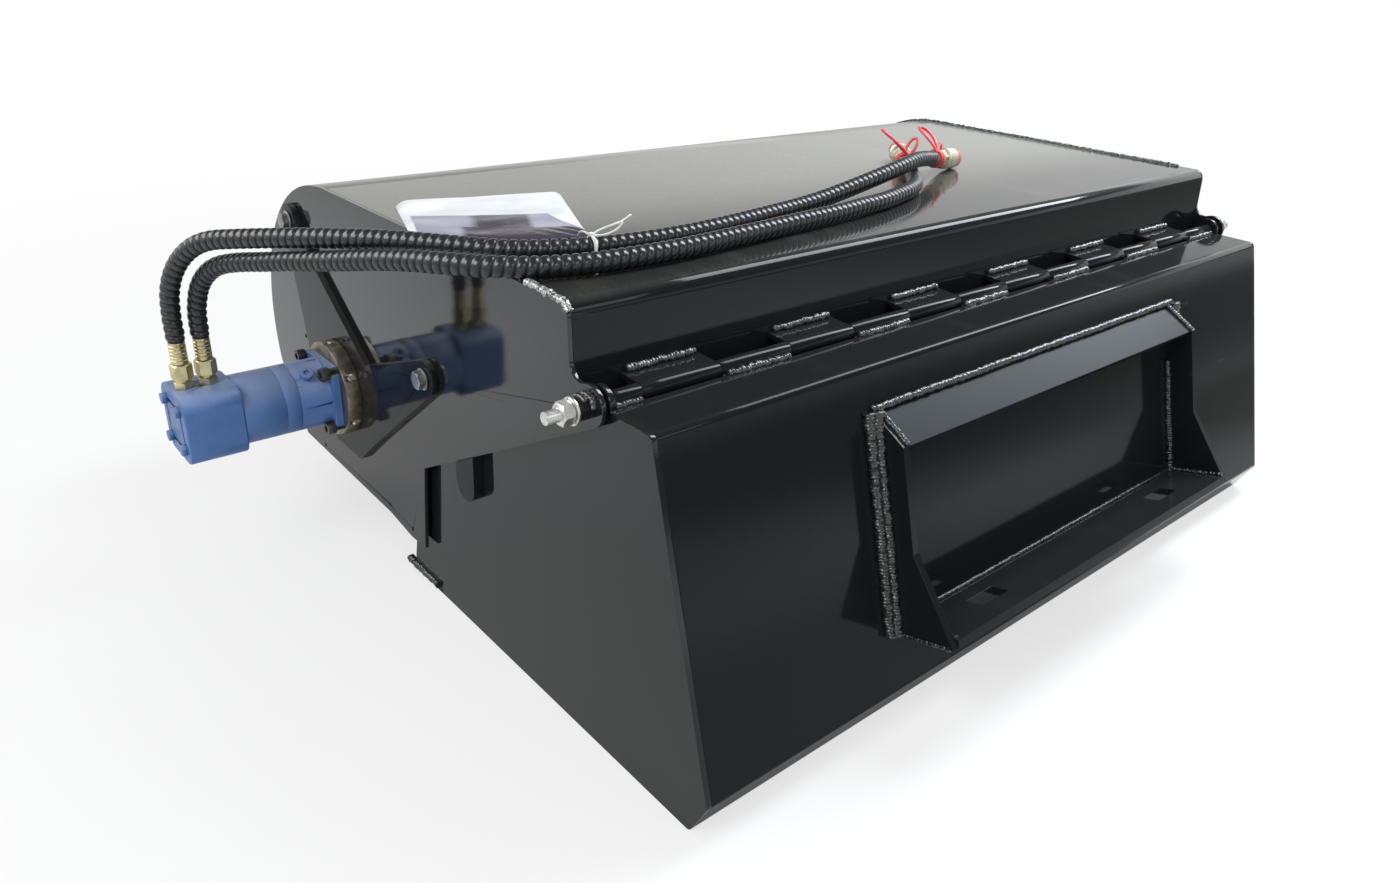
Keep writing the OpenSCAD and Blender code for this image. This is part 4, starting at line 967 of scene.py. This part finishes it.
class SWEEPER_OT_pouch(SweeperOperator):
    """Lays the manual's pouch and its cable tie on the hood"""

    bl_idname = "sweeper.pouch"
    bl_label = "Manual pouch"

    # Corners of the pouch, seen from above
    corners = [(0.722, -0.376), (0.472, -0.32), (0.584, -0.083), (0.768, -0.243)]
    # Tails of the tie, from the top of its band
    tails = [
        [(0, 0, 0), (-0.008, 0.004, 0.006), (-0.018, 0.012, 0.012), (-0.03, 0.022, 0.019),
         (-0.038, 0.03, 0.028)],
        [(0, 0, 0), (-0.01, 0.012, 0.002), (-0.021, 0.024, 0.01), (-0.026, 0.03, 0.02)],
        [(0, 0, 0), (0.004, 0.017, -0.004), (0.006, 0.0205, -0.018), (0.002, 0.026, -0.0295)],
        [(0, 0, 0), (0.0, -0.02, 0.0), (-0.012, -0.045, -0.012), (-0.03, -0.07, -0.0265)]]

    def film(self):
        """The film bag: a grid bent over its booklet, creased, gathered at the tied corner."""
        deselect()
        bpy.ops.mesh.primitive_grid_add(x_subdivisions=46, y_subdivisions=46, size=2.0)
        pouch = bpy.context.object
        a, b, c, d = (Vector((x, y, 0)) for x, y in self.corners)
        for vertex in pouch.data.vertices:
            u, v = (vertex.co.x + 1) / 2, (vertex.co.y + 1) / 2
            spot = (a * (1 - u) + b * u) * (1 - v) + (d * (1 - u) + c * u) * v
            spot += Vector((0.67, 0.74, 0)) * 0.024 * math.sin(math.pi * u) * v * v
            edge = min(u, 1 - u, v * 2.0, 1 - v)
            swell = min(1.0, edge / 0.06) ** 0.5
            crease = (math.sin(9 * u + 5 * v) * math.sin(13 * v - 2 * u + 1) + 1) / 2
            gather = math.exp(-((u - 1) ** 2 + (v - 0.95) ** 2) / 0.03)
            booklet = 0.0068 * min(1.0, max(0.0, (0.26 - v + 0.1 * u) / 0.1))
            lift = 0.0006 + swell * (0.0012 + 0.0018 * crease + booklet) + gather * 0.003
            ripple = 0.0022 * gather * math.sin(60 * (u - v))
            spot.z = hood_top(spot.y) + lift + ripple * swell
            vertex.co = spot
        pick(pouch)
        change(pouch, "SOLIDIFY", thickness=0.0006, offset=1.0)
        change(pouch, "SUBSURF", levels=1, render_levels=1)
        settle(pouch, "manual_pouch_film", "white_pouch", smooth=60, node="manual_pouch")

    def tie(self):
        """Cable tie: a band round the supply hose, its head, its end and three loose strings."""
        low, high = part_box("pouch_tie")
        _, path, _ = HOSES["supply"]
        centre = min(path, key=lambda p: abs(p.x - (low.x + high.x) / 2))
        i = path.index(centre)
        place = facing((path[i + 1] - path[i - 1]).normalized(), centre)
        ring, axis = coil(place, 0.0146, 24)
        pieces = [swept("band", ring, lambda s, t: 0.0017, 8, 0.004, axis)]
        top = centre + Vector((0, 0, 0.0155))
        for points in self.tails:
            points = [top + Vector(p) for p in points]
            path = smooth_path(points, 6)
            pieces.append(swept("tail", path, lambda s, t: 0.0014, 6, 0.004, (0.4, 0.2, 0.5)))
        deselect()
        bpy.ops.mesh.primitive_cube_add(size=0.0052, location=top + Vector((0, 0, 0.001)))
        head = just_added()
        change(head, "BEVEL", width=0.0008, segments=2, limit_method="ANGLE",
               angle_limit=math.radians(35))
        settle(joined(pieces + [head]), "pouch_tie_band", "white_nylon", smooth=50,
               node="pouch_tie")

    def build(self, sizes):
        self.film()
        self.tie()


class SWEEPER_OT_bristles(SweeperOperator):
    """Plants the bristles on the brush's wafers"""

    bl_idname = "sweeper.bristles"
    bl_label = "Bristles"

    # Distance between two wafers, width of one, and radius of the strands' roots
    pitch = 0.05
    width = 0.036
    root = 0.1004
    wafers_per_piece = 9
    # Levels of a strand: share of the way out, and thickness
    levels = ((0.0, 0.0014), (0.35, 0.0012), (1.0, 0.0009))

    def strand(self, vertices, faces, x, angle, offset, radii, spread):
        """Adds one tapered strand of three sides, bent a little round the brush."""
        start = len(vertices)
        limit = self.width / 2
        for r, (drift, thick) in zip(radii, self.levels):
            bend = angle + drift * 0.03
            side = max(-limit, min(limit, offset + spread * drift))
            for k in range(3):
                turn = math.tau * k / 3
                a = bend + thick * math.cos(turn) / r
                vertices.append((x + side + thick * math.sin(turn),
                                 BRUSH.y + r * math.cos(a), BRUSH.z + r * math.sin(a)))
        for level in (start, start + 3):
            for k in range(3):
                m = (k + 1) % 3
                faces.append((level + k, level + 3 + k, level + 3 + m, level + m))
        faces.append((start, start + 1, start + 2))
        faces.append((start + 8, start + 7, start + 6))

    def build(self, sizes):
        rng = random.Random(11)
        low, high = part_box("brush_bristle_packs")
        tip = (high.z - low.z) / 2
        names = ("bristles_right", "bristles_middle", "bristles_left")
        each = self.wafers_per_piece
        first = -(len(names) * each - 1) * self.pitch / 2
        for third, name in enumerate(names):
            vertices, faces = [], []
            for wafer in range(third * each, (third + 1) * each):
                for tuft in range(sizes.tufts):
                    a = math.tau * (tuft + 0.37 * wafer) / sizes.tufts
                    wave = 0.006 * math.sin(a * 9)
                    for _ in range(sizes.strands):
                        angle = a + rng.uniform(-1, 1) * 1.5 * math.pi / sizes.tufts
                        offset = wave + rng.uniform(-1, 1) * self.width * 0.3
                        radii = (self.root - 0.002, (self.root + tip) / 2,
                                 tip - rng.uniform(0.0002, 0.004))
                        spread = rng.uniform(-1, 1) * 0.006
                        self.strand(vertices, faces, first + wafer * self.pitch, angle,
                                    offset, radii, spread)
            settle(built("bristles", vertices, faces), name, "bristle", smooth=0,
                   body="brush", node="brush_bristle_packs")


class SWEEPER_OT_stage(SweeperOperator):
    """Sets the floor, the lamps and the world"""

    bl_idname = "sweeper.stage"
    bl_label = "Studio"

    # Name, place, target, size, power and colour of the lamps, and whether matt faces see them
    lamps = (
        ("Key panel", (-2.3, 0.2, 2.3), (-2.3, 0.15, 0.4), (4.3, 0.9), 138, (0.85, 0.92, 1.0),
         True),
        ("Side panel", (3.2, 0.4, 2.6), (0.5, -0.3, 0.3), (1.7, 1.7), 56, (1, 1, 1), True),
        ("Rear panel", (0.6, 3.6, 3.0), (0, 0.2, 0.3), (2.6, 1.4), 28, (1, 1, 1), True),
        ("Hose panel", (2.3, -1.4, 2.0), (0.9, -0.35, 0.58), (2.2, 1.4), 48, (1, 1, 1), False))

    def build(self, sizes):
        deselect()
        bpy.ops.mesh.primitive_plane_add(size=80.0, location=(0, 0, -0.0005))
        floor = bpy.context.object
        floor.name = "Studio floor"
        floor.data.materials.append(finish("floor"))
        for name, place, target, size, power, colour, diffuse in self.lamps:
            data = bpy.data.lights.new(name, "AREA")
            data.shape = "RECTANGLE"
            data.size, data.size_y = size
            data.energy = power
            data.color = colour
            lamp = placed(name, data)
            lamp.location = place
            way = Vector(target) - Vector(place)
            lamp.rotation_euler = way.to_track_quat("-Z", "Y").to_euler()
            lamp.visible_diffuse = diffuse
        scene = bpy.context.scene
        world = bpy.data.worlds.new("Studio world")
        world.use_nodes = True
        tree = world.node_tree
        background = tree.nodes["Background"]
        start = Wire(tree, None)
        light = start.make("ShaderNodeLightPath", {}, {})
        way = start.make("ShaderNodeTexCoord", {}, {})[GENERATED]
        _, _, height = start.make("ShaderNodeSeparateXYZ", {}, {"Vector": way})
        seen = (light[CAMERA_RAY] + light[TRANSMISSION_RAY]).clamp()
        # Reflections show a bright horizon under a dimmer sky
        sky = 1.0 - 0.8 * height.between(0.212, 0.275)
        ambient = 0.55
        strength = seen + (1.0 - seen) * (ambient + light[GLOSSY_RAY] * (sky - ambient))
        background.inputs["Color"].default_value = (1, 1, 1, 1)
        tree.links.new(strength.socket, background.inputs["Strength"])
        scene.world = world
        scene.view_settings.view_transform = "Standard"


class SWEEPER_PT_panel(bpy.types.Panel):
    """Lists the sizes, the colours and the pieces in the sidebar"""

    bl_idname = "SWEEPER_PT_panel"
    bl_label = "Sweeper broom bucket"
    bl_space_type = "VIEW_3D"
    bl_region_type = "UI"
    bl_category = "Sweeper"

    def draw(self, context):
        layout = self.layout
        for group in (context.scene.sweeper_sizes, context.scene.sweeper_colours):
            for name in group.__annotations__:
                layout.prop(group, name)
        for operator in OPERATORS:
            layout.operator(operator.bl_idname)


HOSES = {}
OPERATORS = (SWEEPER_OT_camera, SWEEPER_OT_hoses, SWEEPER_OT_hose_ends, SWEEPER_OT_plates,
             SWEEPER_OT_welds, SWEEPER_OT_fasteners, SWEEPER_OT_pouch, SWEEPER_OT_bristles,
             SWEEPER_OT_stage)
CLASSES = (SweeperSizes, SweeperColours, *OPERATORS, SWEEPER_PT_panel)


def register():
    for item in CLASSES:
        bpy.utils.register_class(item)
    bpy.types.Scene.sweeper_sizes = bpy.props.PointerProperty(type=SweeperSizes)
    bpy.types.Scene.sweeper_colours = bpy.props.PointerProperty(type=SweeperColours)


def unregister():
    del bpy.types.Scene.sweeper_sizes
    del bpy.types.Scene.sweeper_colours
    for item in reversed(CLASSES):
        bpy.utils.unregister_class(item)


def main():
    register()
    deselect()
    bpy.ops.sweeper.camera()
    bpy.ops.sweeper.hoses()
    bpy.ops.sweeper.hose_ends()
    bpy.ops.sweeper.plates()
    bpy.ops.sweeper.welds()
    bpy.ops.sweeper.fasteners()
    bpy.ops.sweeper.pouch()
    bpy.ops.sweeper.bristles()
    bpy.ops.sweeper.stage()


if __name__ == "__main__":
    main()
